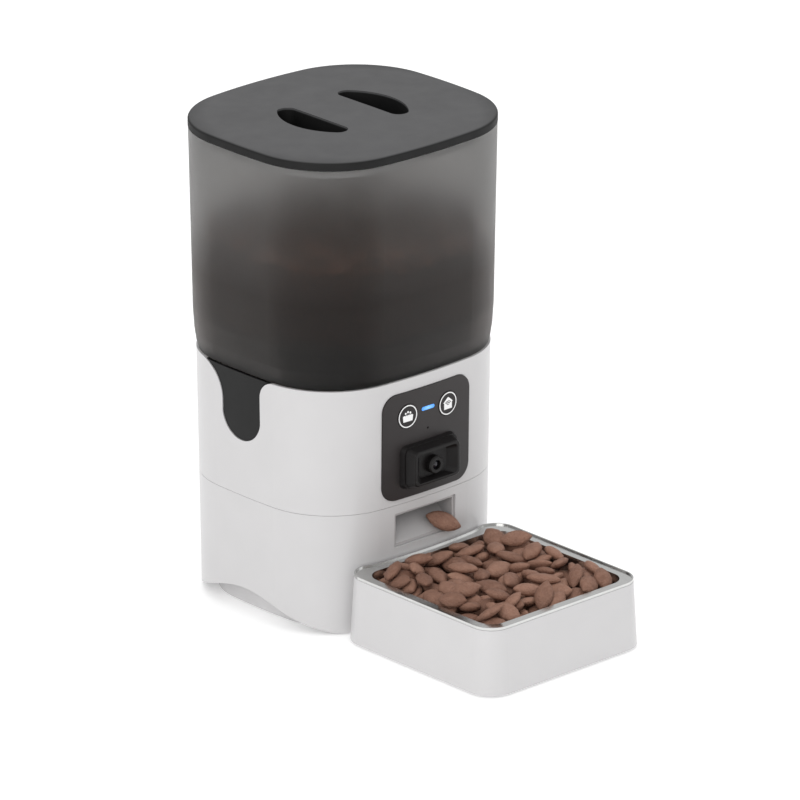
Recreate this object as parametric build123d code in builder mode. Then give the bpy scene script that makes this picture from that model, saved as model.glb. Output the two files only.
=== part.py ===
"""Automatic pet feeder with camera: a food tank on a motor base, and a tray with a lift-out bowl.

Millimetres, +Z up, -Y is the front. The origin is on the floor, under the middle of the whole
footprint. The tall body stands on the axis x = 0, y = BODY_Y, and the bowl tray in front of it.
"""

from build123d import *
from math import atan2, cos, degrees, hypot, pi, radians, sin, sqrt, tan
import os

os.makedirs("parts", exist_ok=True)

# Body: plan of eight tangent arcs, shared by the lid, the tank and the base.
BODY_WIDTH = 190.0
BODY_DEPTH = 173.7
SIDE_ARC = 566.0
FRONT_ARC = 439.0
CORNER_ARC = 60.0
LID_RIM_TOP = 333.8
LID_CROWN = 1.2
LID_BAND = 5.9
BASE_TOP = 173.2
SEAM = 85.5
INSET_AT_TOP = 4.3
INSET_AT_FLOOR = 6.5
WALL = 2.6
FLOOR_GAP = 1.2

# Bowl tray.
TRAY_WIDTH = 138.3
TRAY_LENGTH = 140.5
TRAY_HEIGHT = 48.6
TRAY_CORNER = 15.3
TRAY_DRAFT = 2.8
TRAY_REACH = 147.3  # from the body's axis forward to the middle of the tray

# Fits.
GAP = 0.3
RUNNING = 0.05

# The footprint runs from the tray's front edge to the back of the lid.
TRAY_FRONT = TRAY_REACH + TRAY_LENGTH / 2 + TRAY_DRAFT
BODY_Y = (TRAY_FRONT - BODY_DEPTH / 2) / 2

# Corner arc centre of the plan: CORNER_ARC inside both the side arc and the front arc.
side_x = BODY_WIDTH / 2 - SIDE_ARC
front_y = BODY_DEPTH / 2 - FRONT_ARC
centres_apart = hypot(side_x, front_y)
to_side = SIDE_ARC - CORNER_ARC
to_front = FRONT_ARC - CORNER_ARC
along = (to_side**2 - to_front**2 + centres_apart**2) / (2 * centres_apart)
across = sqrt(to_side**2 - along**2)
CORNER_X = side_x + (-side_x * along - front_y * across) / centres_apart
CORNER_Y = (front_y * along - side_x * across) / centres_apart
SIDE_TURN = degrees(atan2(CORNER_Y, CORNER_X - side_x))
FRONT_TURN = degrees(atan2(CORNER_Y - front_y, CORNER_X))


def level(height):
    """Horizontal plane at a height, centred on the body's axis."""
    return Plane((0, BODY_Y, height))


def facing(reach):
    """Upright plane facing the front, reach behind (+) or before (-) the body's axis; its y is up."""
    return Plane((0, BODY_Y + reach, 0), x_dir=(1, 0, 0), z_dir=(0, -1, 0))


def sideways(x):
    """Upright plane facing +X; its x runs backwards from the body's axis, its y is up."""
    return Plane((x, BODY_Y, 0), x_dir=(0, 1, 0), z_dir=(1, 0, 0))


def plan(inset, height):
    """Draws the body's plan, drawn in by inset, at a height."""
    with BuildSketch(level(height)) as drawn:
        with BuildLine():
            CenterArc((side_x, 0), SIDE_ARC - inset, 0, SIDE_TURN)
            CenterArc((CORNER_X, CORNER_Y), CORNER_ARC - inset, SIDE_TURN, FRONT_TURN - SIDE_TURN)
            CenterArc((0, front_y), FRONT_ARC - inset, FRONT_TURN, 90 - FRONT_TURN)
            mirror(about=Plane.XZ)
            mirror(about=Plane.YZ)
        make_face()
    return drawn.sketch


def prism(inset, low, high, mode=Mode.ADD):
    """Upright prism of the body's plan."""
    extrude(plan(inset, low), amount=high - low, mode=mode)


def drafted(sections, mode=Mode.ADD):
    """Solid through the body's plan at each (height, inset)."""
    loft([plan(inset, height) for height, inset in sections], ruled=True, mode=mode)


def base_inset(height):
    """How far the drafted base stands inside the lid's outline at a height."""
    return INSET_AT_FLOOR + (INSET_AT_TOP - INSET_AT_FLOOR) * height / BASE_TOP


def base_skin(low, high, outwards, mode=Mode.ADD):
    """The base's outer form between two heights, grown outwards."""
    drafted([(z, base_inset(z) - outwards) for z in (low, high)], mode)


def front_at(x, height, outwards=0.0):
    """Distance of the base's front surface before the body's axis, at a place on it."""
    return sqrt((FRONT_ARC - base_inset(height) + outwards) ** 2 - x**2) + front_y


def write(piece, label):
    """Names a finished piece and writes its STEP file."""
    piece.part.label = label
    export_step(piece.part, f"parts/{label}.step")


def round_bar(plane, x, y, radius, length, mode=Mode.ADD):
    """Cylinder standing on a plane."""
    with BuildSketch(plane) as drawn:
        with Locations((x, y)):
            Circle(radius)
    extrude(drawn.sketch, amount=length, mode=mode)


def block(plane, x, y, width, depth, length, mode=Mode.ADD, corner=0.0):
    """Rectangular bar standing on a plane, with rounded corners if asked for."""
    with BuildSketch(plane) as drawn:
        with Locations((x, y)):
            if corner:
                RectangleRounded(width, depth, corner)
            else:
                Rectangle(width, depth)
    extrude(drawn.sketch, amount=length, mode=mode)


# ---------------------------------------------------------------- lid
LID_LOW = LID_RIM_TOP - LID_BAND
LID_TOP = LID_RIM_TOP + LID_CROWN
LID_PLATE = 3.0
GRIP_RADIUS = 43.5
GRIP_BAR = 40.0
GRIP_DEPTH = 14.0
GRIP_CORNER = 7.0
CUP_WALL = 1.8
PLUG_INSET = 5.2
PLUG_WALL = 2.0
PLUG_LOW = LID_RIM_TOP - 12.0
SEAL_LOW = LID_RIM_TOP - 11.5
SEAL_HIGH = SEAL_LOW + 4.5
crown_radius = (BODY_WIDTH**2 / 4 + LID_CROWN**2) / (2 * LID_CROWN)


def grip_outline(height, grow):
    """The two half-moon finger recesses, either side of the bar that is pinched to lift the lid."""
    with BuildSketch(level(height)) as drawn:
        Circle(GRIP_RADIUS + grow)
        Rectangle(GRIP_BAR - 2 * grow, 3 * GRIP_RADIUS, mode=Mode.SUBTRACT)
        fillet(drawn.vertices(), GRIP_CORNER + grow)
    return drawn.sketch


with BuildPart() as lid:
    prism(0, LID_LOW, LID_TOP)
    with BuildSketch(facing(0)) as dome:
        with BuildLine():
            CenterArc((0, LID_TOP - crown_radius), crown_radius, 88, 2)
            Line((0, LID_TOP), (0, LID_TOP + 9))
            Line((0, LID_TOP + 9), crown_line := (crown_radius * cos(radians(88)), LID_TOP + 9))
            Line(crown_line, (crown_line[0], LID_TOP - crown_radius * (1 - sin(radians(88)))))
        make_face()
    revolve(dome.sketch, Axis((0, BODY_Y, 0), (0, 0, 1)), mode=Mode.SUBTRACT)
    fillet(lid.faces().sort_by(Axis.Z)[-1].edges(), 1.6)
    prism(CUP_WALL, LID_LOW, LID_RIM_TOP - LID_PLATE, Mode.SUBTRACT)
    prism(PLUG_INSET, PLUG_LOW, LID_RIM_TOP - 1)
    prism(PLUG_INSET + PLUG_WALL, PLUG_LOW, LID_RIM_TOP - LID_PLATE, Mode.SUBTRACT)
    extrude(grip_outline(LID_TOP - GRIP_DEPTH - CUP_WALL, CUP_WALL), amount=GRIP_DEPTH)
    extrude(grip_outline(LID_TOP - GRIP_DEPTH, 0), amount=GRIP_DEPTH + 1, mode=Mode.SUBTRACT)
write(lid, "lid")

with BuildPart() as lid_seal:
    prism(2.95, SEAL_LOW, SEAL_HIGH)
    prism(PLUG_INSET, SEAL_LOW, SEAL_HIGH, Mode.SUBTRACT)
write(lid_seal, "lid_seal")

# ---------------------------------------------------------------- desiccant box under the lid
DRY_WIDTH = 34.0
DRY_LENGTH = 70.0
DRY_TALL = 20.0
DRY_WALL = 1.6
dry_top = LID_RIM_TOP - LID_PLATE
dry_low = dry_top - DRY_TALL

with BuildPart() as desiccant_case:
    block(level(dry_low), 0, 0, DRY_WIDTH, DRY_LENGTH, DRY_TALL, corner=4)
    block(level(dry_low), 0, 0, DRY_WIDTH - 2 * DRY_WALL, DRY_LENGTH - 2 * DRY_WALL,
          DRY_TALL - DRY_WALL, Mode.SUBTRACT, corner=2.5)
write(desiccant_case, "desiccant_case")

with BuildPart() as desiccant_bag:
    block(level(dry_low + 0.5), 0, 0, DRY_WIDTH - 5, DRY_LENGTH - 6, 14, corner=2)
    fillet(desiccant_bag.faces().filter_by(Axis.Z).edges(), 1.8)
write(desiccant_bag, "desiccant_bag")

with BuildPart() as desiccant_cap:
    block(level(dry_low - 2.2), 0, 0, DRY_WIDTH + 2, DRY_LENGTH + 2, 2, corner=5)
    with BuildSketch(level(dry_low - 2.2)) as slots:
        with GridLocations(5, 28, 5, 2):
            SlotOverall(22, 2.2, rotation=90)
    extrude(slots.sketch, amount=2, mode=Mode.SUBTRACT)
write(desiccant_cap, "desiccant_cap")

# ---------------------------------------------------------------- food tank
TANK_TOP = LID_LOW - GAP
TANK_SHOULDER = 200.0
TANK_EDGE = BASE_TOP + 0.5
SKIRT_INSET = 8.0
SKIRT_LOW = 158.0
SKIRT_INNER = 10.2
LATCH_Y = 1.5
LATCH_HALF = 18.4
PIN_Z = 166.5
PIN_RADIUS = 0.9
PIN_X = BODY_WIDTH / 2 - (SKIRT_INSET + SKIRT_INNER) / 2
tank_outside = [(TANK_TOP, 0.2), (TANK_SHOULDER, 2.3), (186, 3.2), (178, 4.4), (TANK_EDGE, 5.7)]
tank_inside = [(TANK_TOP, 2.6), (TANK_SHOULDER, 4.7), (186, 6.0), (178, 8.0), (TANK_EDGE, SKIRT_INNER)]

with BuildPart() as food_tank:
    drafted(tank_outside)
    prism(SKIRT_INSET, SKIRT_LOW, TANK_EDGE)
    drafted(tank_inside, Mode.SUBTRACT)
    prism(SKIRT_INNER, SKIRT_LOW, TANK_EDGE, Mode.SUBTRACT)
    for side in (-1, 1):
        # A window in the skirt gives each side latch room to swing in.
        block(level(SKIRT_LOW), side * PIN_X, LATCH_Y, 8, 2 * LATCH_HALF + 1.6,
              PIN_Z + 5 - SKIRT_LOW, Mode.SUBTRACT)
        with BuildSketch(Plane((side * PIN_X, BODY_Y + LATCH_Y, PIN_Z), z_dir=(0, 1, 0))) as pin_hole:
            Circle(PIN_RADIUS)
        extrude(pin_hole.sketch, amount=LATCH_HALF + 5, both=True, mode=Mode.SUBTRACT)
write(food_tank, "food_tank")

# ---------------------------------------------------------------- hopper funnel and wheel chamber
CHAMBER = 47.0
CHAMBER_WALL = 2.4
CHAMBER_LOW = 137.0
CHAMBER_FLOOR = 3.0
CHAMBER_TOP = 170.0
FUNNEL_SLOPE = 35.0
FUNNEL_REACH = 125.0
HUB_HOLE = 8.0
PORT_INNER = 24.0
PORT_OUTER = 46.0
PORT_HALF_WIDTH = 22.0
funnel_rise = (FUNNEL_REACH - CHAMBER) * tan(radians(FUNNEL_SLOPE))
chamber_rim = CHAMBER + CHAMBER_WALL


def port_outline(height, grow=0.0):
    """The discharge port: a ring piece in front of the hub, straight at its two ends."""
    with BuildSketch(level(height)) as drawn:
        Circle(PORT_OUTER + grow)
        Circle(PORT_INNER - grow, mode=Mode.SUBTRACT)
        with Locations((0, -PORT_OUTER / 2)):
            Rectangle(2 * (PORT_HALF_WIDTH + grow), PORT_OUTER + 2 * grow, mode=Mode.INTERSECT)
    return drawn.sketch


with BuildPart() as hopper_funnel:
    with BuildSketch(facing(0)) as section:
        chamber_profile = [
            (0, CHAMBER_LOW),
            (chamber_rim, CHAMBER_LOW),
            (chamber_rim, CHAMBER_TOP - 2),
            (FUNNEL_REACH, CHAMBER_TOP - 2 - 1 + funnel_rise),
            (FUNNEL_REACH, CHAMBER_TOP + funnel_rise),
            (CHAMBER, CHAMBER_TOP),
            (CHAMBER, CHAMBER_LOW + CHAMBER_FLOOR),
            (0, CHAMBER_LOW + CHAMBER_FLOOR),
        ]
        with BuildLine():
            Polyline(*chamber_profile, close=True)
        make_face()
    revolve(section.sketch, Axis((0, BODY_Y, 0), (0, 0, 1)))
    # Trimmed all round to the inside of the tapering tank.
    drafted([(CHAMBER_LOW - 1, SKIRT_INNER + 0.3), (TANK_EDGE, SKIRT_INNER + 0.3), (178, 8.3),
             (186, 6.3), (TANK_SHOULDER, 5.0), (212, 4.9)], Mode.INTERSECT)
    extrude(port_outline(CHAMBER_LOW), amount=CHAMBER_FLOOR, mode=Mode.SUBTRACT)
    round_bar(level(CHAMBER_LOW), 0, 0, HUB_HOLE, CHAMBER_FLOOR, Mode.SUBTRACT)
write(hopper_funnel, "hopper_funnel")

with BuildPart() as port_guard:
    # Soft plate over the port, so that food only leaves in the wheel's pockets.
    extrude(port_outline(CHAMBER_TOP + 0.2, 3), amount=1.8)
    block(level(CHAMBER_TOP + 0.2), 0, -CHAMBER - 3, 2 * PORT_HALF_WIDTH, 8, 1.8)
    with BuildSketch(level(CHAMBER_TOP + 0.2)) as trim:
        Circle(CHAMBER - 0.1)
    extrude(trim.sketch, amount=1.8, mode=Mode.INTERSECT)
write(port_guard, "port_guard")

# ---------------------------------------------------------------- dispensing wheel
WHEEL_LOW = CHAMBER_LOW + CHAMBER_FLOOR + 0.6
WHEEL_TOP = 168.0
WHEEL_HUB = 12.0
WHEEL_RADIUS = CHAMBER - 1.2
VANES = 6
VANE = 2.2
SPIGOT = HUB_HOLE - 0.1
SHAFT_HEX = 3.5  # half the width across flats
SHAFT_TOP = 158.0

with BuildPart() as dispensing_wheel:
    round_bar(level(WHEEL_LOW), 0, 0, WHEEL_HUB, WHEEL_TOP - WHEEL_LOW)
    round_bar(level(CHAMBER_LOW), 0, 0, SPIGOT, WHEEL_LOW - CHAMBER_LOW)
    for turn in range(VANES):
        with BuildSketch(level(WHEEL_LOW)) as vane:
            with PolarLocations(0, 1, start_angle=360 / VANES * (turn + 0.5)):
                with Locations((WHEEL_RADIUS / 2, 0)):
                    Rectangle(WHEEL_RADIUS, VANE)
        extrude(vane.sketch, amount=WHEEL_TOP - WHEEL_LOW - 1)
    with BuildSketch(level(CHAMBER_LOW)) as socket:
        RegularPolygon(SHAFT_HEX + 0.15, 6, major_radius=False)
    extrude(socket.sketch, amount=SHAFT_TOP + 1 - CHAMBER_LOW, mode=Mode.SUBTRACT)
write(dispensing_wheel, "dispensing_wheel")

with BuildPart() as stirrer:
    # Cone and fingers that keep the food above the wheel loose.
    with BuildSketch(facing(0)) as cone:
        with BuildLine():
            Polyline((0, WHEEL_TOP), (WHEEL_HUB, WHEEL_TOP), (WHEEL_HUB, WHEEL_TOP + 3), (4, WHEEL_TOP + 16),
                     (0, WHEEL_TOP + 18), close=True)
        make_face()
    revolve(cone.sketch, Axis((0, BODY_Y, 0), (0, 0, 1)))
    for side in (-1, 1):
        finger = Plane((0, BODY_Y, WHEEL_TOP + 7), x_dir=(0, 1, 0), z_dir=(side, 0, 0.45))
        round_bar(finger, 0, 0, 2.4, 36)
write(stirrer, "stirrer")

# ---------------------------------------------------------------- side latches of the tank
NOTCH_HALF = 18.8
NOTCH_LOW = 125.0
NOTCH_TOP = 140.5
FLARE_BACK = 24.0
FLARE_FRONT = 13.0
NOTCH_X = 70.0  # from here outwards the notch is cut
LATCH_CLEAR = 0.45
LATCH_THICK = 2.4
LATCH_SINK = 0.5
LATCH_TOP = BASE_TOP - 0.4
KNUCKLE = 2.3
SPRING_ROOM = 14.0


def notch_outline(x, shrink, top):
    """Side notch: round at the foot, straight sided, flared to the back and front at the top."""
    half = NOTCH_HALF - shrink
    back = NOTCH_HALF + FLARE_BACK
    front = NOTCH_HALF + FLARE_FRONT
    knee_back = BASE_TOP - FLARE_BACK
    knee_front = BASE_TOP - FLARE_FRONT
    tip = BASE_TOP + shrink
    with BuildSketch(sideways(x)) as drawn:
        with BuildLine():
            ThreePointArc((LATCH_Y - half, NOTCH_TOP), (LATCH_Y, NOTCH_LOW + shrink),
                          (LATCH_Y + half, NOTCH_TOP))
            Line((LATCH_Y + half, NOTCH_TOP), (LATCH_Y + half, knee_back))
            RadiusArc((LATCH_Y + half, knee_back), (LATCH_Y + back, tip), FLARE_BACK + shrink)
            Line((LATCH_Y + back, tip), (LATCH_Y + back, tip + 2))
            Line((LATCH_Y + back, tip + 2), (LATCH_Y - front, tip + 2))
            Line((LATCH_Y - front, tip + 2), (LATCH_Y - front, tip))
            RadiusArc((LATCH_Y - front, tip), (LATCH_Y - half, knee_front), FLARE_FRONT + shrink)
            Line((LATCH_Y - half, knee_front), (LATCH_Y - half, NOTCH_TOP))
        make_face()
        with Locations((0, top - 60)):
            Rectangle(200, 120, mode=Mode.INTERSECT)
    return drawn.sketch


for side, name in ((-1, "tank_latch_left"), (1, "tank_latch_right")):
    with BuildPart() as tank_latch:
        base_skin(NOTCH_LOW - 2, BASE_TOP, -LATCH_SINK)
        base_skin(NOTCH_LOW - 3, BASE_TOP + 1, -LATCH_SINK - LATCH_THICK, Mode.SUBTRACT)
        extrude(notch_outline(side * NOTCH_X, LATCH_CLEAR, LATCH_TOP), amount=side * 30, mode=Mode.INTERSECT)
        block(level(PIN_Z - KNUCKLE), side * PIN_X, LATCH_Y, 2 * KNUCKLE, 2 * LATCH_HALF, 2 * KNUCKLE)
        # Room for the spring between two knuckles, then the bore for the pin.
        block(level(PIN_Z - KNUCKLE - 1), side * (PIN_X - 1.3), LATCH_Y, 2 * KNUCKLE, SPRING_ROOM,
              2 * KNUCKLE + 2, Mode.SUBTRACT)
        with BuildSketch(Plane((side * PIN_X, BODY_Y, PIN_Z), z_dir=(0, 1, 0))) as bore:
            Circle(PIN_RADIUS + RUNNING)
        extrude(bore.sketch, amount=2 * LATCH_HALF, both=True, mode=Mode.SUBTRACT)
    write(tank_latch, name)

with BuildPart() as latch_pins:
    for side in (-1, 1):
        with BuildSketch(Plane((side * PIN_X, BODY_Y + LATCH_Y, PIN_Z), z_dir=(0, 1, 0))) as pin:
            Circle(PIN_RADIUS)
        extrude(pin.sketch, amount=LATCH_HALF + 4, both=True)
write(latch_pins, "latch_pins")

# ---------------------------------------------------------------- upper housing
PANEL_WIDTH = 77.6
PANEL_TALL = 74.8
PANEL_MID = 126.9
PANEL_CORNER = 11.5
PANEL_PROUD = 1.0
PANEL_THICK = 2.4
DECK = 133.0
DECK_THICK = 2.5
BOSS_REACH = 47.0
boss_x = CORNER_X + BOSS_REACH * cos(radians(45))
boss_y = CORNER_Y + BOSS_REACH * sin(radians(45))
JOINT_LIP = 4.0
SEAM_GAP = 0.24


def rounded(plane, x, y, width, tall, corner):
    """Rounded rectangle on a plane."""
    with BuildSketch(plane) as drawn:
        with Locations((x, y)):
            RectangleRounded(width, tall, corner)
    return drawn.sketch


with BuildPart() as upper_housing:
    base_skin(SEAM + SEAM_GAP / 2, BASE_TOP, 0)
    base_skin(SEAM - 1, BASE_TOP + 1, -WALL, Mode.SUBTRACT)
    # Lip that centres it in the lower housing.
    base_skin(SEAM - JOINT_LIP, SEAM + 4, -WALL - 0.15)
    base_skin(SEAM + SEAM_GAP / 2, SEAM + 4, -WALL + 0.2)
    base_skin(SEAM - JOINT_LIP - 1, SEAM + 5, -WALL - 1.6, Mode.SUBTRACT)
    base_skin(DECK, DECK + DECK_THICK, -WALL)
    extrude(port_outline(DECK, 2), amount=DECK_THICK, mode=Mode.SUBTRACT)
    round_bar(level(DECK), 0, 0, 6.5, DECK_THICK, Mode.SUBTRACT)
    for side in (-1, 1):
        extrude(notch_outline(side * NOTCH_X, 0, BASE_TOP + 2), amount=side * 30, mode=Mode.SUBTRACT)
    extrude(rounded(facing(-60), 0, PANEL_MID, PANEL_WIDTH + 0.4, PANEL_TALL + 0.4, PANEL_CORNER),
            amount=40, mode=Mode.SUBTRACT)
write(upper_housing, "upper_housing")

# ---------------------------------------------------------------- lower housing
CHUTE_WIDTH = 55.0
CHUTE_LOW = 55.4
CHUTE_HIGH = 79.5
CHUTE_CORNER = 1.5
ARCH_HALF = 72.0
ARCH_TALL = 19.4
ARCH_KNEE = 47.0
ARCH_KNEE_TALL = 8.0
HOOK_X = 42.0
HOOK_WIDTH = 14.0
HOOK_LOW = 26.0
HOOK_THICK = 3.0
INLET_X = 30.0
INLET_Z = 34.0
INLET_RADIUS = 5.5
BOSS_LOW = 24.3
BOSS_TOP = 62.0
BOSS_RADIUS = 5.5
SCREW_RADIUS = 1.5
SPEAKER_Z = 52.0
SPEAKER_X = -30.0
BOARD_X = 20.0
BOARD_Z = 62.0
BOARD_Y = 66.0
BOARD_HOLE_X = 31.0
BOARD_HOLE_Z = 15.0
corners = [(x * boss_x, y * boss_y) for x in (-1, 1) for y in (-1, 1)]

with BuildPart() as lower_housing:
    base_skin(FLOOR_GAP, SEAM - SEAM_GAP / 2, 0)
    base_skin(FLOOR_GAP - 1, SEAM + 1, -WALL, Mode.SUBTRACT)
    for x, y in corners:
        round_bar(level(BOSS_LOW), x, y, BOSS_RADIUS, BOSS_TOP - BOSS_LOW)
        round_bar(level(BOSS_LOW), x, y, SCREW_RADIUS + RUNNING, 18, Mode.SUBTRACT)
    # Low arches in the bottom edge of both side walls.
    with BuildSketch(sideways(-100)) as arch:
        with BuildLine():
            Spline((-ARCH_HALF, 0), (-ARCH_KNEE, ARCH_KNEE_TALL), (0, ARCH_TALL), (ARCH_KNEE, ARCH_KNEE_TALL),
                   (ARCH_HALF, 0))
            Line((ARCH_HALF, 0), (-ARCH_HALF, 0))
        make_face()
    extrude(arch.sketch, amount=200, mode=Mode.SUBTRACT)
    extrude(rounded(facing(-50), 0, (CHUTE_LOW + CHUTE_HIGH) / 2, CHUTE_WIDTH, CHUTE_HIGH - CHUTE_LOW,
                    CHUTE_CORNER), amount=50, mode=Mode.SUBTRACT)
    for side in (-1, 1):
        block(facing(-60), side * HOOK_X, HOOK_LOW + HOOK_THICK / 2, HOOK_WIDTH + 1.2, HOOK_THICK + 1.2, 40,
              Mode.SUBTRACT)
    round_bar(facing(95), INLET_X, INLET_Z, INLET_RADIUS, 30, Mode.SUBTRACT)
    with BuildSketch(facing(95)) as speaker_holes:
        with Locations((SPEAKER_X, SPEAKER_Z)):
            Circle(0.9)
            for ring in (1, 2, 3):
                with PolarLocations(4 * ring, 6 * ring):
                    Circle(0.9)
    extrude(speaker_holes.sketch, amount=30, mode=Mode.SUBTRACT)
    for x in (-1, 1):
        for z in (-1, 1):
            # Posts on the back wall for the main board.
            round_bar(facing(BOARD_Y), BOARD_X + x * BOARD_HOLE_X, BOARD_Z + z * BOARD_HOLE_Z, 3, -11)
            round_bar(facing(BOARD_Y), BOARD_X + x * BOARD_HOLE_X, BOARD_Z + z * BOARD_HOLE_Z, 1.15, -8,
                      Mode.SUBTRACT)
write(lower_housing, "lower_housing")

# ---------------------------------------------------------------- bottom pan, feet, screws
PAN_INSET = 18.0
PAN_LOW = 2.0
PAN_THICK = 2.5
PAN_TOP = BOSS_LOW - 0.1
PAN_WALL = 2.4
FOOT_X = 56.0
FOOT_Y = 50.0
FOOT_RADIUS = 8.0
FOOT_SET = 1.0
BATTERY_WIDTH = 110.0
BATTERY_LENGTH = 66.0
BATTERY_Y = -6.0
feet = [(x * FOOT_X, y * FOOT_Y) for x in (-1, 1) for y in (-1, 1)]

with BuildPart() as bottom_pan:
    prism(PAN_INSET, PAN_LOW, PAN_TOP)
    drafted([(z, base_inset(z) + WALL + 0.4) for z in (PAN_TOP - PAN_THICK, PAN_TOP)])
    prism(PAN_INSET + PAN_WALL, PAN_LOW + PAN_THICK, PAN_TOP + 1, Mode.SUBTRACT)
    for x, y in feet:
        round_bar(level(PAN_LOW - 1), x, y, FOOT_RADIUS, 1 + FOOT_SET, Mode.SUBTRACT)
    block(level(0), 0, BATTERY_Y, BATTERY_WIDTH, BATTERY_LENGTH, 10, Mode.SUBTRACT, corner=3)
    for x, y in corners:
        round_bar(level(0), x, y, SCREW_RADIUS + 0.1, 40, Mode.SUBTRACT)
write(bottom_pan, "bottom_pan")

with BuildPart() as rubber_feet:
    for x, y in feet:
        round_bar(level(0), x, y, FOOT_RADIUS - 0.05, PAN_LOW + FOOT_SET)
    fillet(rubber_feet.faces().group_by(Axis.Z)[0].edges(), 0.8)
write(rubber_feet, "rubber_feet")


def cross_screw(plane, x, y, length, radius=SCREW_RADIUS):
    """Pan-head screw: the shank runs up from the plane, the cross-slotted head hangs below it."""
    round_bar(plane, x, y, radius, length)
    round_bar(plane, x, y, radius * 2, -radius * 1.3)
    for turn in (0, 90):
        with BuildSketch(plane.offset(-radius * 1.3)) as slot:
            with Locations(Location((x, y, 0), (0, 0, turn))):
                Rectangle(radius * 2.4, radius * 0.5)
        extrude(slot.sketch, amount=radius * 0.6, mode=Mode.SUBTRACT)


with BuildPart() as pan_screws:
    for x, y in corners:
        cross_screw(level(PAN_TOP - PAN_THICK), x, y, 16)
write(pan_screws, "pan_screws")

# ---------------------------------------------------------------- backup battery box
CELL_RADIUS = 16.6
CELL_LENGTH = 60.0
BOX_LOW = PAN_LOW + PAN_THICK
BOX_TALL = 38.0
BOX_WALL = 2.0

with BuildPart() as battery_box:
    block(level(BOX_LOW), 0, BATTERY_Y, BATTERY_WIDTH + 8, BATTERY_LENGTH + 8, 2.2, corner=4)
    block(level(BOX_LOW), 0, BATTERY_Y, BATTERY_WIDTH, BATTERY_LENGTH, BOX_TALL, corner=3)
    block(level(BOX_LOW), 0, BATTERY_Y, BATTERY_WIDTH - 2 * BOX_WALL, BATTERY_LENGTH - 2 * BOX_WALL,
          BOX_TALL - BOX_WALL, Mode.SUBTRACT, corner=1.5)
write(battery_box, "battery_box")

with BuildPart() as battery_cells:
    cell_end = facing(BATTERY_Y + CELL_LENGTH / 2)
    cell_z = BOX_LOW + CELL_RADIUS + 1.2
    for column in (-1, 0, 1):
        cell_x = column * (2 * CELL_RADIUS + 0.6)
        round_bar(cell_end, cell_x, cell_z, CELL_RADIUS, CELL_LENGTH - 1)
        round_bar(cell_end.offset(CELL_LENGTH - 1), cell_x, cell_z, 4.5, 1)
write(battery_cells, "battery_cells")

with BuildPart() as battery_cover:
    block(level(PAN_LOW), 0, BATTERY_Y, BATTERY_WIDTH - 0.6, BATTERY_LENGTH - 0.6, 2.2, corner=2.7)
    round_bar(level(PAN_LOW), 0, BATTERY_Y - BATTERY_LENGTH / 2 + 6, 3.2, 1.2, Mode.SUBTRACT)
write(battery_cover, "battery_cover")

with BuildPart() as battery_screw:
    round_bar(level(PAN_LOW + 0.2), 0, BATTERY_Y - BATTERY_LENGTH / 2 + 6, 2.9, 1)
    block(level(PAN_LOW), 0, BATTERY_Y - BATTERY_LENGTH / 2 + 6, 4.4, 0.9, 0.8, Mode.SUBTRACT)
write(battery_screw, "battery_screw")

# ---------------------------------------------------------------- food chute
DUCT_WALL = 1.8
DUCT_BACK = -21.8
DUCT_FRONT = -52.0
DUCT_TOP = DECK - 0.2
DUCT_HALF = CHUTE_WIDTH / 2 - 0.3
DUCT_CORNER = 1.2
RAMP_TOP = 98.0
MOUTH = -79.2
ramp_low = CHUTE_LOW + 0.3
duct_outside = [(DUCT_BACK, DUCT_TOP), (DUCT_BACK, RAMP_TOP), (MOUTH + 1.5, ramp_low), (MOUTH, ramp_low),
                (MOUTH, CHUTE_HIGH - 0.3), (MOUTH + 6, CHUTE_HIGH - 0.3), (DUCT_FRONT, 104),
                (DUCT_FRONT, DUCT_TOP)]
duct_inside = [(DUCT_BACK - DUCT_WALL, DUCT_TOP + 1), (DUCT_BACK - DUCT_WALL, RAMP_TOP + 1),
               (MOUTH - 1, ramp_low + 1.2), (MOUTH - 1, CHUTE_HIGH - 2.1), (MOUTH + 5.4, CHUTE_HIGH - 2.1),
               (DUCT_FRONT + DUCT_WALL, 103.4), (DUCT_FRONT + DUCT_WALL, DUCT_TOP + 1)]

with BuildPart() as food_chute:
    with BuildSketch(sideways(0)) as outside:
        with BuildLine():
            Polyline(*duct_outside, close=True)
        make_face()
    extrude(outside.sketch, amount=DUCT_HALF, both=True)
    fillet(food_chute.edges().filter_by(Axis.Y), DUCT_CORNER)
    with BuildSketch(sideways(0)) as inside:
        with BuildLine():
            Polyline(*duct_inside, close=True)
        make_face()
    extrude(inside.sketch, amount=DUCT_HALF - DUCT_WALL, both=True, mode=Mode.SUBTRACT)
write(food_chute, "food_chute")

with BuildPart() as food_sensors:
    # Infrared sender and receiver facing each other across the duct.
    for side in (-1, 1):
        block(sideways(side * (DUCT_HALF + 0.1)), -42, 90, 10, 8, side * 5, corner=1)
write(food_sensors, "food_sensors")

# ---------------------------------------------------------------- control panel and its buttons
BUTTON_X = 18.0
BUTTON_Z = 147.2
BUTTON_RADIUS = 8.4
LIGHT_Z = 149.0
LIGHT_WIDTH = 11.5
LIGHT_TALL = 2.7
MIC_Z = 134.6
CAMERA_Z = 111.6
CAMERA_BACK = (49.2, 31.0)
BOARD_FACE = -72.0
panel_posts = [(x, z) for x in (-31, 31) for z in (132.0, 153.5)]


def panel_layer(low, high, proud, thick):
    """Curved layer that follows the base's front, standing proud of it."""
    base_skin(low, high, proud)
    base_skin(low - 1, high + 1, proud - thick, Mode.SUBTRACT)


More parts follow.
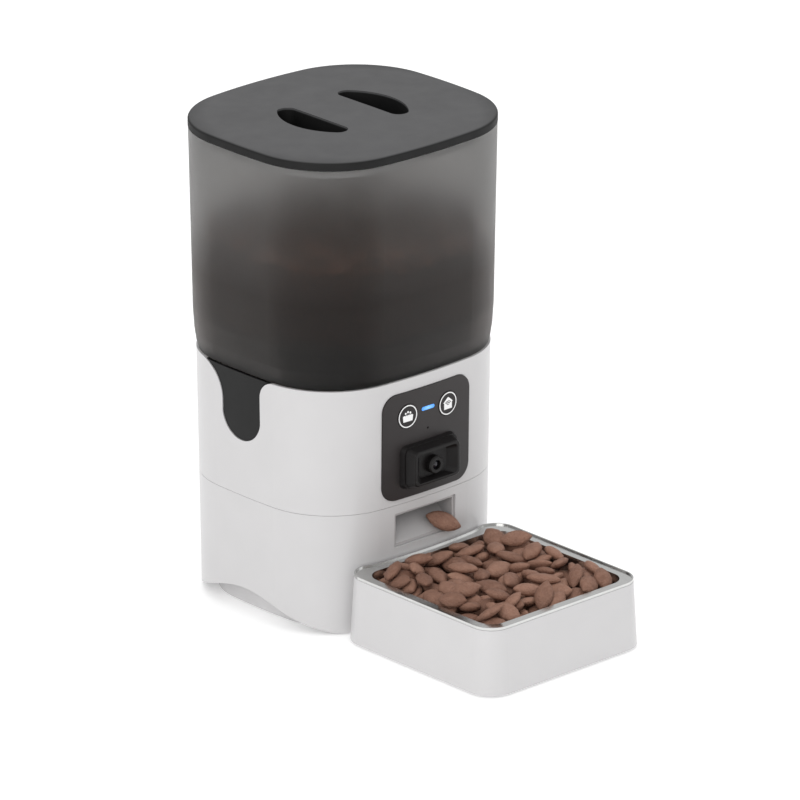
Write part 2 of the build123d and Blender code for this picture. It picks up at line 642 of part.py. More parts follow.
with BuildPart() as control_panel:
    panel_layer(SEAM, BASE_TOP, PANEL_PROUD, PANEL_PROUD + PANEL_THICK)
    extrude(rounded(facing(-60), 0, PANEL_MID, PANEL_WIDTH, PANEL_TALL, PANEL_CORNER), amount=40,
            mode=Mode.INTERSECT)
    for side in (-1, 1):
        round_bar(facing(-60), side * BUTTON_X, BUTTON_Z, BUTTON_RADIUS + 0.3, 40, Mode.SUBTRACT)
    with BuildSketch(facing(-60)) as holes:
        with Locations((0, LIGHT_Z)):
            SlotOverall(LIGHT_WIDTH, LIGHT_TALL)
        with Locations((0, MIC_Z)):
            Circle(0.8)
        with Locations((0, CAMERA_Z)):
            RectangleRounded(CAMERA_BACK[0] - 8, CAMERA_BACK[1] - 8, 3)
    extrude(holes.sketch, amount=40, mode=Mode.SUBTRACT)
    for x, z in panel_posts:
        round_bar(facing(BOARD_FACE + 1), x, z, 2.6, 8)
        round_bar(facing(BOARD_FACE + 1), x, z, 1.15, 6, Mode.SUBTRACT)
write(control_panel, "control_panel")

for side, name in ((-1, "feed_button"), (1, "settings_button")):
    with BuildPart() as button:
        panel_layer(BUTTON_Z - 12, BUTTON_Z + 12, PANEL_PROUD + 0.35, 2.6)
        with BuildSketch(facing(-60)) as cap:
            with Locations((side * BUTTON_X, BUTTON_Z)):
                Circle(BUTTON_RADIUS)
        extrude(cap.sketch, amount=40, mode=Mode.INTERSECT)
        round_bar(facing(BOARD_FACE - 2.4), side * BUTTON_X, BUTTON_Z, 2.5, 7)
    write(button, name)

with BuildPart() as light_pipe:
    panel_layer(LIGHT_Z - 5, LIGHT_Z + 5, PANEL_PROUD + 0.1, 4)
    with BuildSketch(facing(-60)) as capsule:
        with Locations((0, LIGHT_Z)):
            SlotOverall(LIGHT_WIDTH - 0.1, LIGHT_TALL - 0.1)
    extrude(capsule.sketch, amount=40, mode=Mode.INTERSECT)
write(light_pipe, "light_pipe")

with BuildPart() as button_board:
    block(facing(BOARD_FACE + 2.6), 0, 143, 68, 28, 1.6, corner=3)
    for x, z in panel_posts:
        round_bar(facing(BOARD_FACE + 3), x, z, 1.15, 3, Mode.SUBTRACT)
    # The small lamp behind the light pipe.
    block(facing(BOARD_FACE + 1), 0, LIGHT_Z, 5, 2.6, 1.6)
write(button_board, "button_board")

with BuildPart() as tact_switches:
    for side in (-1, 1):
        block(facing(BOARD_FACE + 1), side * BUTTON_X, BUTTON_Z, 6, 6, 1.2, corner=0.5)
write(tact_switches, "tact_switches")

with BuildPart() as microphone:
    round_bar(facing(BOARD_FACE + 1), 0, MIC_Z, 3, 2.4)
write(microphone, "microphone")

with BuildPart() as panel_screws:
    for x, z in panel_posts:
        cross_screw(facing(BOARD_FACE + 2.6), x, z, 1.6 + 4.5, 1.1)
write(panel_screws, "panel_screws")

# ---------------------------------------------------------------- camera
CAMERA_WIDTH = 40.6
CAMERA_TALL = 24.4
CAMERA_STEP = 3.2
CAMERA_REACH = 10.0
LENS_RADIUS = 6.2
EYE_RADIUS = 3.4
LENS_Z = CAMERA_Z - 1.0
LENS_SINK = 0.8  # of the barrel's front behind the shroud's
POCKET_DEPTH = 5.0
panel_front = -front_at(0, CAMERA_Z, PANEL_PROUD)
camera_front = panel_front - CAMERA_REACH

with BuildPart() as camera_mount:
    # Stepped frame, held against the panel's curved face.
    loft([rounded(facing(panel_front + 1.2), 0, CAMERA_Z, *CAMERA_BACK, 5),
          rounded(facing(panel_front - CAMERA_STEP), 0, CAMERA_Z, CAMERA_BACK[0] - 2, CAMERA_BACK[1] - 2, 5)])
    base_skin(CAMERA_Z - 20, CAMERA_Z + 20, PANEL_PROUD, Mode.SUBTRACT)
    extrude(rounded(facing(-70), 0, CAMERA_Z, CAMERA_BACK[0] - 8.4, CAMERA_BACK[1] - 8.4, 3), amount=30,
            mode=Mode.SUBTRACT)
write(camera_mount, "camera_mount")

with BuildPart() as camera_shroud:
    loft([rounded(facing(panel_front - CAMERA_STEP), 0, CAMERA_Z, CAMERA_WIDTH + 4, CAMERA_TALL + 3, 4.5),
          rounded(facing(camera_front), 0, CAMERA_Z, CAMERA_WIDTH, CAMERA_TALL, 4)])
    fillet(camera_shroud.faces().sort_by(Axis.Y)[0].edges(), 1.0)
    # Boss behind, through the frame and the panel.
    extrude(rounded(facing(panel_front + 6), 0, CAMERA_Z, CAMERA_BACK[0] - 9, CAMERA_BACK[1] - 9, 2.8),
            amount=6 + CAMERA_STEP)
    with BuildSketch(facing(camera_front)) as pocket_mouth:
        with Locations((0, CAMERA_Z)):
            RectangleRounded(CAMERA_WIDTH - 4.6, CAMERA_TALL - 4.0, 3)
    with BuildSketch(facing(camera_front + POCKET_DEPTH)) as pocket_floor:
        with Locations((0, CAMERA_Z)):
            RectangleRounded(CAMERA_WIDTH - 16, CAMERA_TALL - 7, 3)
    loft([pocket_mouth.sketch, pocket_floor.sketch], mode=Mode.SUBTRACT)
    round_bar(facing(panel_front + 6), 0, LENS_Z, LENS_RADIUS + RUNNING, 30, Mode.SUBTRACT)
write(camera_shroud, "camera_shroud")

with BuildPart() as lens_barrel:
    round_bar(facing(panel_front + 6), 0, LENS_Z, LENS_RADIUS, 6 + CAMERA_REACH - LENS_SINK)
    chamfer(lens_barrel.edges().group_by(Axis.Y)[0], 0.8)
    round_bar(facing(panel_front + 7), 0, LENS_Z, EYE_RADIUS, 40, Mode.SUBTRACT)
write(lens_barrel, "lens_barrel")

with BuildPart() as lens_glass:
    with BuildSketch(sideways(0)) as bulge:
        glass_back = camera_front + 5
        glass_edge = camera_front + 3.2
        glass_rim = LENS_Z + EYE_RADIUS - RUNNING
        with BuildLine():
            Line((glass_back, LENS_Z), (glass_back, glass_rim))
            Line((glass_back, glass_rim), (glass_edge, glass_rim))
            Spline((glass_edge, glass_rim), (glass_edge - 1.1, LENS_Z + EYE_RADIUS / 2),
                   (glass_edge - 1.4, LENS_Z), tangents=((-0.6, -1), (0, -1)))
            Line((glass_edge - 1.4, LENS_Z), (glass_back, LENS_Z))
        make_face()
    revolve(bulge.sketch, Axis((0, BODY_Y, LENS_Z), (0, 1, 0)))
write(lens_glass, "lens_glass")

with BuildPart() as camera_board:
    block(facing(panel_front + 8.2), 0, CAMERA_Z, 36, 24, 1.6, corner=2)
    round_bar(facing(panel_front + 6.6), 0, LENS_Z, EYE_RADIUS - 0.2, 6)
write(camera_board, "camera_board")

# ---------------------------------------------------------------- gearbox, gears, motor
MODULE = 1.0
GEAR_TEETH = 36
PINION_TEETH = 12
GEAR_LOW = 116.0
GEAR_THICK = 7.0
SHAFT_RADIUS = 4.0
CASE_LOW = 106.0
CASE_WALL = 1.8
GEAR_ROOM = 1.5
HEX_LOW = DECK + 2.0
CASE_TOP = DECK - 2.6
MOTOR_RADIUS = 12.0
MOTOR_TALL = 30.0
BUSH_RADIUS = 6.0
EAR_REACH = 8.5
EAR_Y = 6.0
gear_radius = MODULE * GEAR_TEETH / 2
pinion_radius = MODULE * PINION_TEETH / 2
gear_spacing = gear_radius + pinion_radius


def gear_outline(height, x, y, teeth, first, backlash=0.25):
    """Involute spur gear: each tooth is two involute flanks closed by the tip circle."""
    pitch = MODULE * teeth / 2
    base = pitch * cos(radians(20))
    tip = pitch + 0.9 * MODULE
    root = pitch - 1.25 * MODULE

    def half_angle(radius):
        roll = sqrt(max((radius / base) ** 2 - 1, 0))
        pitch_roll = sqrt((pitch / base) ** 2 - 1)
        return pi / (2 * teeth) - backlash / (2 * pitch) + (pitch_roll - atan2(pitch_roll, 1)) - (
            roll - atan2(roll, 1))

    flank = [root - 0.5] + [base + (tip - base) * step / 4 for step in range(5)]
    right = [(r * cos(half_angle(r)), r * sin(half_angle(r))) for r in flank]
    left = [(px, -py) for px, py in reversed(right)]
    with BuildSketch(level(height)) as drawn:
        with Locations((x, y)):
            Circle(root)
            with PolarLocations(0, teeth, start_angle=first):
                Polygon(*right, *left, align=None)
    return drawn.sketch


with BuildPart() as output_gear:
    extrude(gear_outline(GEAR_LOW, 0, 0, GEAR_TEETH, 90), amount=GEAR_THICK)
    round_bar(level(GEAR_LOW - 2), 0, 0, 8, GEAR_THICK + 4)
    round_bar(level(GEAR_LOW - 3), 0, 0, SHAFT_RADIUS, 30, Mode.SUBTRACT)
write(output_gear, "output_gear")

with BuildPart() as output_shaft:
    round_bar(level(CASE_LOW + 1), 0, 0, SHAFT_RADIUS, HEX_LOW - CASE_LOW - 1)
    with BuildSketch(level(HEX_LOW)) as hexagon:
        RegularPolygon(SHAFT_HEX, 6, major_radius=False)
    extrude(hexagon.sketch, amount=SHAFT_TOP - HEX_LOW)
write(output_shaft, "output_shaft")

with BuildPart() as motor_pinion:
    extrude(gear_outline(GEAR_LOW, 0, gear_spacing, PINION_TEETH, 90 + 180 / PINION_TEETH), amount=GEAR_THICK)
    round_bar(level(CASE_LOW - 6), 0, gear_spacing, 1.0, GEAR_LOW + 1 - CASE_LOW + 6)
write(motor_pinion, "motor_pinion")


def case_outline(height, grow):
    """Pear shape round the big gear and the small one."""
    with BuildSketch(level(height)) as drawn:
        Circle(gear_radius + GEAR_ROOM + grow)
        with Locations((0, gear_spacing)):
            Circle(MOTOR_RADIUS + grow)
        with Locations((0, gear_spacing / 2)):
            Rectangle(2 * (MOTOR_RADIUS + grow), gear_spacing)
    return drawn.sketch


with BuildPart() as gearbox_case:
    extrude(case_outline(CASE_LOW, CASE_WALL), amount=CASE_TOP - CASE_LOW)
    with BuildSketch(level(CASE_TOP - 3)) as ears:
        with Locations((gear_radius + EAR_REACH - 1.5, EAR_Y), (-gear_radius - EAR_REACH + 1.5, EAR_Y)):
            Circle(5)
            Rectangle(13, 10)
    extrude(ears.sketch, amount=3)
    extrude(case_outline(CASE_LOW + CASE_WALL, 0), amount=40, mode=Mode.SUBTRACT)
    round_bar(level(CASE_LOW), 0, 0, BUSH_RADIUS + 2.5, 7)
    round_bar(level(CASE_LOW - 1), 0, 0, BUSH_RADIUS, 40, Mode.SUBTRACT)
    round_bar(level(CASE_LOW - 1), 0, gear_spacing, 3.0, 40, Mode.SUBTRACT)
    for side in (-1, 1):
        round_bar(level(CASE_LOW), side * (gear_radius + EAR_REACH), EAR_Y, SCREW_RADIUS + RUNNING, 40,
                  Mode.SUBTRACT)
write(gearbox_case, "gearbox_case")

with BuildPart() as gearbox_cover:
    extrude(case_outline(CASE_TOP + 0.1, CASE_WALL), amount=2.3)
    round_bar(level(CASE_TOP), 0, 0, BUSH_RADIUS, 10, Mode.SUBTRACT)
write(gearbox_cover, "gearbox_cover")

with BuildPart() as shaft_bushes:
    for low, tall in ((CASE_LOW, 6.5), (CASE_TOP - 1.5, 5.8)):
        round_bar(level(low), 0, 0, BUSH_RADIUS - 0.02, tall)
        round_bar(level(low - 1), 0, 0, SHAFT_RADIUS + RUNNING, tall + 2, Mode.SUBTRACT)
write(shaft_bushes, "shaft_bushes")

with BuildPart() as gearbox_screws:
    for side in (-1, 1):
        cross_screw(level(CASE_TOP - 3), side * (gear_radius + EAR_REACH), EAR_Y, 3 + 2.5)
write(gearbox_screws, "gearbox_screws")

with BuildPart() as motor:
    round_bar(level(CASE_LOW - MOTOR_TALL), 0, gear_spacing, MOTOR_RADIUS, MOTOR_TALL - 0.1)
    fillet(motor.faces().filter_by(Axis.Z).edges(), 1.2)
    round_bar(level(CASE_LOW - MOTOR_TALL - 2), 0, gear_spacing, 3, 3)
    for side in (-1, 1):
        block(level(CASE_LOW - MOTOR_TALL - 4), side * 7, gear_spacing, 0.6, 2.6, 5)
    round_bar(level(CASE_LOW - 7), 0, gear_spacing, 1.2, 20, Mode.SUBTRACT)
write(motor, "motor")

# ---------------------------------------------------------------- main board, power inlet, speaker
with BuildPart() as main_board:
    block(facing(BOARD_Y), BOARD_X, BOARD_Z, 70, 38, 1.6, corner=2)
    for x in (-1, 1):
        for z in (-1, 1):
            round_bar(facing(BOARD_Y + 1), BOARD_X + x * BOARD_HOLE_X, BOARD_Z + z * BOARD_HOLE_Z, 1.3, 5,
                      Mode.SUBTRACT)
    block(facing(BOARD_Y - 1.6), BOARD_X - 12, BOARD_Z + 3, 18, 16, 2.6)
    block(facing(BOARD_Y - 1.6), BOARD_X + 14, BOARD_Z + 4, 10, 8, 1.4)
    block(facing(BOARD_Y - 1.6), BOARD_X + 18, BOARD_Z - 11, 12, 6, 5)
    round_bar(facing(BOARD_Y - 1.6), BOARD_X - 2, BOARD_Z - 12, 4, 9)
write(main_board, "main_board")

with BuildPart() as board_screws:
    for x in (-1, 1):
        for z in (-1, 1):
            cross_screw(facing(BOARD_Y - 1.6).rotated((180, 0, 0)), BOARD_X + x * BOARD_HOLE_X,
                        -BOARD_Z - z * BOARD_HOLE_Z, 6, 1.1)
write(board_screws, "board_screws")

with BuildPart() as power_inlet:
    inlet_face = front_at(INLET_X, INLET_Z) - 0.3
    round_bar(facing(inlet_face), INLET_X, INLET_Z, INLET_RADIUS - 0.1, 4)
    block(facing(inlet_face - 3.5), INLET_X, INLET_Z, 10, 10, 11.5, corner=1)
    round_bar(facing(inlet_face + 1), INLET_X, INLET_Z, 2.8, 12, Mode.SUBTRACT)
    round_bar(facing(inlet_face - 2), INLET_X, INLET_Z, 1.0, 11)
write(power_inlet, "power_inlet")

with BuildPart() as speaker:
    round_bar(facing(74.5), SPEAKER_X, SPEAKER_Z, 14, 2)
    round_bar(facing(72.5), SPEAKER_X, SPEAKER_Z, 9, 5)
    round_bar(facing(74.5), SPEAKER_X, SPEAKER_Z, 12, 1, Mode.SUBTRACT)
write(speaker, "speaker")

# ---------------------------------------------------------------- bowl tray
TRAY_WALL = 2.6
TRAY_LOW = 2.0
TRAY_FLOOR = 2.4
TRAY_CLEAR = 0.4
TRAY_FOOT_X = 52.0
TRAY_FOOT_Y = 50.0
LEDGE_TOP = 46.8
LEDGE_THICK = 2.4
BOWL_OPEN = 5.0
hollow_back = -front_at(0, 0, TRAY_CLEAR) - TRAY_WALL
hollow_front = -TRAY_REACH - TRAY_LENGTH / 2 + TRAY_WALL
hollow_length = hollow_back - hollow_front
hollow_mid = (hollow_back + hollow_front) / 2
hollow_width = TRAY_WIDTH - 2 * TRAY_WALL
tray_feet_places = [(x * TRAY_FOOT_X, y * TRAY_FOOT_Y - TRAY_REACH) for x in (-1, 1) for y in (-1, 1)]


def tray_outline(height):
    """Outside of the tray at a height; it is larger at the floor by the draft."""
    grow = TRAY_DRAFT * (1 - height / TRAY_HEIGHT)
    return rounded(level(height), 0, -TRAY_REACH, TRAY_WIDTH + 2 * grow, TRAY_LENGTH + 2 * grow,
                   TRAY_CORNER + grow)


with BuildPart() as bowl_tray:
    loft([tray_outline(TRAY_LOW), tray_outline(TRAY_HEIGHT)])
    block(level(TRAY_LOW + TRAY_FLOOR), 0, hollow_mid, hollow_width, hollow_length, 60, Mode.SUBTRACT,
          corner=TRAY_CORNER - TRAY_WALL)
    block(level(LEDGE_TOP - LEDGE_THICK), 0, hollow_mid, hollow_width + 0.4, hollow_length + 0.4, LEDGE_THICK,
          corner=TRAY_CORNER - TRAY_WALL)
    block(level(LEDGE_TOP - LEDGE_THICK - 1), 0, hollow_mid, hollow_width - 7, hollow_length - 7, 10,
          Mode.SUBTRACT, corner=TRAY_CORNER - TRAY_WALL - 3)
    base_skin(-1, TRAY_HEIGHT + 2, TRAY_CLEAR, Mode.SUBTRACT)
    # The walls stop at the ledge's height: the bowl's rim lies on them.
    block(level(LEDGE_TOP), 0, -TRAY_REACH, TRAY_WIDTH + 10, TRAY_LENGTH + 20, 10, Mode.SUBTRACT)
    hook_reach = -hollow_back - 71
    for side in (-1, 1):
        block(facing(-70), side * HOOK_X, HOOK_LOW + HOOK_THICK / 2, HOOK_WIDTH, HOOK_THICK, hook_reach)
    for x, y in tray_feet_places:
        round_bar(level(TRAY_LOW - 1), x, y, FOOT_RADIUS, 1 + FOOT_SET, Mode.SUBTRACT)
write(bowl_tray, "bowl_tray")

with BuildPart() as tray_feet:
    for x, y in tray_feet_places:
        round_bar(level(0), x, y, FOOT_RADIUS - 0.05, TRAY_LOW + FOOT_SET)
    fillet(tray_feet.faces().group_by(Axis.Z)[0].edges(), 0.8)
write(tray_feet, "tray_feet")

# ---------------------------------------------------------------- steel bowl
STEEL = 0.8
BOWL_LOW = 12.0
BOWL_RIM = LEDGE_TOP + 0.25
BOWL_TAPER = 7.0
BOWL_ROUND = 7.0
BEAD = 1.0
RIM_CLEAR = TRAY_CLEAR + 0.8
bowl_width = hollow_width - 2 * BOWL_OPEN
bowl_length = hollow_length - 2 * BOWL_OPEN
bowl_corner = TRAY_CORNER - TRAY_WALL - 1


def bowl_form(low, high, grow, floor_round, mode=Mode.ADD):
    """Tapered tub with a rounded floor edge."""
    with BuildPart(mode=Mode.PRIVATE) as tub:
        loft([rounded(level(low), 0, hollow_mid, bowl_width - 2 * BOWL_TAPER + 2 * grow,
                      bowl_length - 2 * BOWL_TAPER + 2 * grow, bowl_corner + 4 + grow),
              rounded(level(high), 0, hollow_mid, bowl_width + 2 * grow, bowl_length + 2 * grow,
                      bowl_corner + grow)])
        fillet(tub.faces().sort_by(Axis.Z)[0].edges(), floor_round)
    add(tub.part, mode=mode)


def rim_layer(low, thick, inset, mode=Mode.ADD):
    """Flat layer over the tray's walls, drawn in by inset and hollow at the back to pass the base."""
    with BuildPart(mode=Mode.PRIVATE) as layer:
        outline = rounded(level(low), 0, -TRAY_REACH, TRAY_WIDTH - 2 * inset, TRAY_LENGTH - 2 * inset,
                          TRAY_CORNER - inset)
        extrude(outline, amount=thick)
        base_skin(low - 1, low + thick + 1, RIM_CLEAR + inset, Mode.SUBTRACT)
    add(layer.part, mode=mode)


with BuildPart() as food_bowl:
    bowl_form(BOWL_LOW, BOWL_RIM + STEEL, STEEL, BOWL_ROUND + STEEL)
    rim_layer(BOWL_RIM, STEEL + BEAD, 0)
    rim_layer(BOWL_RIM + STEEL, 2 * BEAD, BEAD, Mode.SUBTRACT)
    bowl_form(BOWL_LOW + STEEL, BOWL_RIM + STEEL + 0.01, 0, BOWL_ROUND, Mode.SUBTRACT)
write(food_bowl, "food_bowl")
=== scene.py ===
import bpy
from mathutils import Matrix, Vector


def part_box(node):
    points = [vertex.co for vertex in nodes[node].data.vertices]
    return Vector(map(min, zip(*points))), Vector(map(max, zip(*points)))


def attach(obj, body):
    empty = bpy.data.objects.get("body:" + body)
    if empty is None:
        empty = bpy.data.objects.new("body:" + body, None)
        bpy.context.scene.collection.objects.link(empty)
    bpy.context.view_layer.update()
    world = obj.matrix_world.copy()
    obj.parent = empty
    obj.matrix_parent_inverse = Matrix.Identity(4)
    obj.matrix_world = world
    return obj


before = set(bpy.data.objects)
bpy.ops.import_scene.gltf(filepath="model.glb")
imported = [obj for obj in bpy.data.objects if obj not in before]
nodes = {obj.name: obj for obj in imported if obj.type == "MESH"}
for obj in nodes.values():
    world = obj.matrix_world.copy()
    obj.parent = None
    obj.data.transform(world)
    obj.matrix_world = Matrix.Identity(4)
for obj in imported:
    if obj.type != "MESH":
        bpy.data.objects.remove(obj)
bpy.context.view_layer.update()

from math import cos, pi, radians, sin

import bpy
import numpy as np
from mathutils import Vector

MM = 0.001
scene = bpy.context.scene

# ------------------------------------------------------------------ camera
# A long lens, a little above the lid, from the front left.
base_low, base_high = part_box("lower_housing")
axis_y = (base_low[1] + base_high[1]) / 2
azimuth = radians(-42.515)
elevation = radians(20.904)
CAMERA_FAR = 5.3135
AIM_FORWARD = 0.040
AIM_HEIGHT = 0.155
AIM_RIGHT = 0.01065
AIM_DOWN = 0.01215
back = Vector((sin(azimuth) * cos(elevation), -cos(azimuth) * cos(elevation), sin(elevation)))
right = Vector((cos(azimuth), sin(azimuth), 0))
up = back.cross(right)
aim = Vector((0, axis_y - AIM_FORWARD, AIM_HEIGHT)) + right * AIM_RIGHT - up * AIM_DOWN
camera_data = bpy.data.cameras.new("camera")
camera_data.lens = 360
camera_data.sensor_width = 36
camera_data.clip_end = 50
camera = bpy.data.objects.new("camera", camera_data)
camera.location = aim + back * CAMERA_FAR
camera.rotation_euler = back.to_track_quat("Z", "Y").to_euler()
scene.collection.objects.link(camera)
scene.camera = camera

# ------------------------------------------------------------------ studio
# Pale floor, soft panels of light and a bright even surround. Not part of the feeder.


def fresh_material(name, colour, roughness, **sockets):
    """A material whose plain values stand on the shader itself; returns it with its tree and shader."""
    made = bpy.data.materials.new(name)
    made.use_nodes = True
    tree = made.node_tree
    shader = tree.nodes["Principled BSDF"]
    shader.inputs["Base Color"].default_value = (*colour, 1)
    shader.inputs["Roughness"].default_value = roughness
    for socket, value in sockets.items():
        shader.inputs[socket.replace("_", " ")].default_value = value
    return made, tree, shader


FLOOR_HALF = 6.0
floor_mesh = bpy.data.meshes.new("studio_floor")
floor_mesh.from_pydata([(FLOOR_HALF * x, FLOOR_HALF * y, 0) for x, y in ((-1, -1), (1, -1), (1, 1), (-1, 1))],
                       [], [(0, 1, 2, 3)])
studio_floor = bpy.data.objects.new("studio_floor", floor_mesh)
scene.collection.objects.link(studio_floor)
floor_look, _, floor_shader = fresh_material("floor_paint", (0.9, 0.9, 0.9), 0.6,
                                            Emission_Color=(1, 1, 1, 1), Emission_Strength=0.3)
floor_mesh.materials.append(floor_look)

world = bpy.data.worlds.new("studio")
scene.world = world
world.use_nodes = True
world.node_tree.nodes["Background"].inputs["Color"].default_value = (1, 1, 1, 1)
world.node_tree.nodes["Background"].inputs["Strength"].default_value = 0.7
scene.view_settings.view_transform = "Standard"


def panel_light(name, place, target, size, power, colour=(1, 1, 1)):
    """Soft square lamp at a place, turned to a target."""
    data = bpy.data.lights.new(name, "AREA")
    data.size = size
    data.energy = power
    data.color = colour
    lamp = bpy.data.objects.new(name, data)
    lamp.location = place
    lamp.rotation_euler = (Vector(place) - Vector(target)).to_track_quat("Z", "Y").to_euler()
    scene.collection.objects.link(lamp)
    return lamp


panel_light("key_left", (-1.6, -0.9, 1.3), (0, 0, 0.15), 1.4, 15)
panel_light("top_soft", (0.1, 0.1, 2.2), (0, 0, 0.2), 1.6, 11)
panel_light("fill_right", (1.8, -1.4, 0.9), (0, 0, 0.15), 1.4, 5, (0.95, 0.97, 1))

# ------------------------------------------------------------------ lid
# Flat moulded cap with a matt, finely eroded top and two finger recesses. A soft ring under it seals
# the tank, and a small caged case for the drying sachet hangs from its middle.


def drifting(tree, cell, low, high, detail=2.0):
    """Value wandering between low and high: fractal noise over the piece, one swing to a cell in metres."""
    place = tree.nodes.new("ShaderNodeTexCoord")
    noise = tree.nodes.new("ShaderNodeTexNoise")
    noise.inputs["Scale"].default_value = 1 / cell
    noise.inputs["Detail"].default_value = detail
    spread = tree.nodes.new("ShaderNodeMapRange")
    spread.inputs["From Min"].default_value = 0.3
    spread.inputs["From Max"].default_value = 0.7
    spread.inputs["To Min"].default_value = low
    spread.inputs["To Max"].default_value = high
    tree.links.new(place.outputs["Object"], noise.inputs["Vector"])
    tree.links.new(noise.outputs["Fac"], spread.inputs["Value"])
    return spread.outputs["Result"]


def shaded(tree, shader, colour, share, factor):
    """Base colour that a factor leads from a share darker to a share lighter."""
    mix = tree.nodes.new("ShaderNodeMix")
    mix.data_type = "RGBA"
    mix.inputs["A"].default_value = (*(value * (1 - share) for value in colour), 1)
    mix.inputs["B"].default_value = (*(min(value * (1 + share), 1) for value in colour), 1)
    tree.links.new(factor, mix.inputs["Factor"])
    tree.links.new(mix.outputs["Result"], shader.inputs["Base Color"])


def relief(tree, shader, height, depth, strength=1.0):
    """Surface raised by a height from 0 to 1, times a depth in metres."""
    bump = tree.nodes.new("ShaderNodeBump")
    bump.inputs["Distance"].default_value = depth
    bump.inputs["Strength"].default_value = strength
    tree.links.new(height, bump.inputs["Height"])
    tree.links.new(bump.outputs["Normal"], shader.inputs["Normal"])


def moulded(name, colour, roughness, grain=0.0006, depth=0.00001, share=0.05, swing=0.04, **sockets):
    """Moulded plastic: fine grain as relief, and broad drifts of shade and gloss from the flow of the melt."""
    made, tree, shader = fresh_material(name, colour, roughness, **sockets)
    shaded(tree, shader, colour, share, drifting(tree, 0.03, 0, 1))
    tree.links.new(drifting(tree, 0.012, roughness - swing, roughness + swing, 4), shader.inputs["Roughness"])
    relief(tree, shader, drifting(tree, grain, 0, 1, 3), depth)
    return made


def dress(look, *names):
    """Puts a material on every slot of the named nodes."""
    for name in names:
        slots = nodes[name].material_slots
        if not slots:
            nodes[name].data.materials.append(look)
        for slot in slots:
            slot.material = look


# Height above which the lid's top is painted lighter grey as a painted sheen.
LID_SHEEN_EDGE = 333.5 * MM
SHEEN_BLEND = 0.4 * MM
LID_LINER = 327.6 * MM
LINER_BLEND = 0.2 * MM
LINER_INSIDE = 54 * MM
BAND_BLACK = (0.006, 0.006, 0.006)
NATURAL = (0.8, 0.8, 0.8)


def by_height(tree, low, high):
    """Value that goes from 0 to 1 as the height above the floor goes from low to high."""
    place = tree.nodes.new("ShaderNodeTexCoord")
    split = tree.nodes.new("ShaderNodeSeparateXYZ")
    rise = tree.nodes.new("ShaderNodeMapRange")
    rise.inputs["From Min"].default_value = low
    rise.inputs["From Max"].default_value = high
    tree.links.new(place.outputs["Object"], split.inputs["Vector"])
    tree.links.new(split.outputs["Z"], rise.inputs["Value"])
    return rise.outputs["Result"]


def beyond(tree, radius):
    """1 farther than a radius from the body's upright axis, 0 nearer to it."""
    place = tree.nodes.new("ShaderNodeTexCoord")
    centred = tree.nodes.new("ShaderNodeMapping")
    centred.inputs["Location"].default_value = (0, -axis_y, 0)
    centred.inputs["Scale"].default_value = (1, 1, 0)
    length = tree.nodes.new("ShaderNodeVectorMath")
    length.operation = "LENGTH"
    edge = tree.nodes.new("ShaderNodeMath")
    edge.operation = "GREATER_THAN"
    edge.inputs[1].default_value = radius
    tree.links.new(place.outputs["Object"], centred.inputs["Vector"])
    tree.links.new(centred.outputs["Vector"], length.inputs[0])
    tree.links.new(length.outputs["Value"], edge.inputs[0])
    return edge.outputs["Value"]


def repaint(tree, shader, colour, factor):
    """Second colour over the base colour, where the factor is 1."""
    under = shader.inputs["Base Color"].links[0].from_socket
    mix = tree.nodes.new("ShaderNodeMix")
    mix.data_type = "RGBA"
    mix.inputs["B"].default_value = (*colour, 1)
    tree.links.new(factor, mix.inputs["Factor"])
    tree.links.new(under, mix.inputs["A"])
    tree.links.new(mix.outputs["Result"], shader.inputs["Base Color"])


# Black plastic; its matt top is painted grey, a painted sheen of the light it catches, and the sides below it are
# black. The liner below is natural.
lid_shell = moulded("lid_shell", (0.088, 0.088, 0.09), 0.6, 0.0005, 0.00003, Specular_IOR_Level=0.25)
lid_tree = lid_shell.node_tree
lid_shader = lid_tree.nodes["Principled BSDF"]
repaint(lid_tree, lid_shader, BAND_BLACK, by_height(lid_tree, LID_SHEEN_EDGE + SHEEN_BLEND, LID_SHEEN_EDGE - SHEEN_BLEND))
liner = lid_tree.nodes.new("ShaderNodeMath")
liner.operation = "MULTIPLY"
lid_tree.links.new(by_height(lid_tree, LID_LINER + LINER_BLEND, LID_LINER - LINER_BLEND), liner.inputs[0])
lid_tree.links.new(beyond(lid_tree, LINER_INSIDE), liner.inputs[1])
repaint(lid_tree, lid_shader, NATURAL, liner.outputs["Value"])
dress(lid_shell, "lid")
dress(moulded("lid_ring_silicone", NATURAL, 0.7, 0.0004, 0.00002), "lid_seal")
dress(moulded("sachet_case_plastic", (0.05, 0.05, 0.05), 0.45), "desiccant_case", "desiccant_cap")
dress(moulded("sachet_paper", (0.82, 0.8, 0.76), 0.9, 0.0009, 0.0002, 0.08), "desiccant_bag")

# ------------------------------------------------------------------ food tank
# Smoke-tinted clear polystyrene, frosted by an eroded mould so the food shows only as a soft shadow.
# The walls are about two and a half millimetres thick; the funnel is pressed into its foot.
TANK_TINT = (0.48, 0.475, 0.47)
# Painted shade for the food in the tank: the wall is darker below the food's height.
FILL_SHADE_TINT = (0.27, 0.247, 0.237)
FILL_SHADE_TOP = 262 * MM
FILL_SHADE_FULL = 232 * MM


def frosted(name, tint, roughness):
    """Frosted tinted wall: light scatters as it passes, with faint drifts in how fine the frost is, and painted
    shade as high as the food stands.
    """
    made, tree, shader = fresh_material(name, tint, roughness, IOR=1.3, Transmission_Weight=1.0)
    shaded(tree, shader, tint, 0.04, drifting(tree, 0.04, 0, 1))
    tree.links.new(drifting(tree, 0.02, roughness - 0.04, roughness + 0.04, 3), shader.inputs["Roughness"])
    relief(tree, shader, drifting(tree, 0.0005, 0, 1, 2), 0.000012)
    # Painted shade: the inside is darkened as high as the food stands, for the shaded food seen through the
    # frost.
    repaint(tree, shader, FILL_SHADE_TINT, by_height(tree, FILL_SHADE_TOP, FILL_SHADE_FULL))
    return made


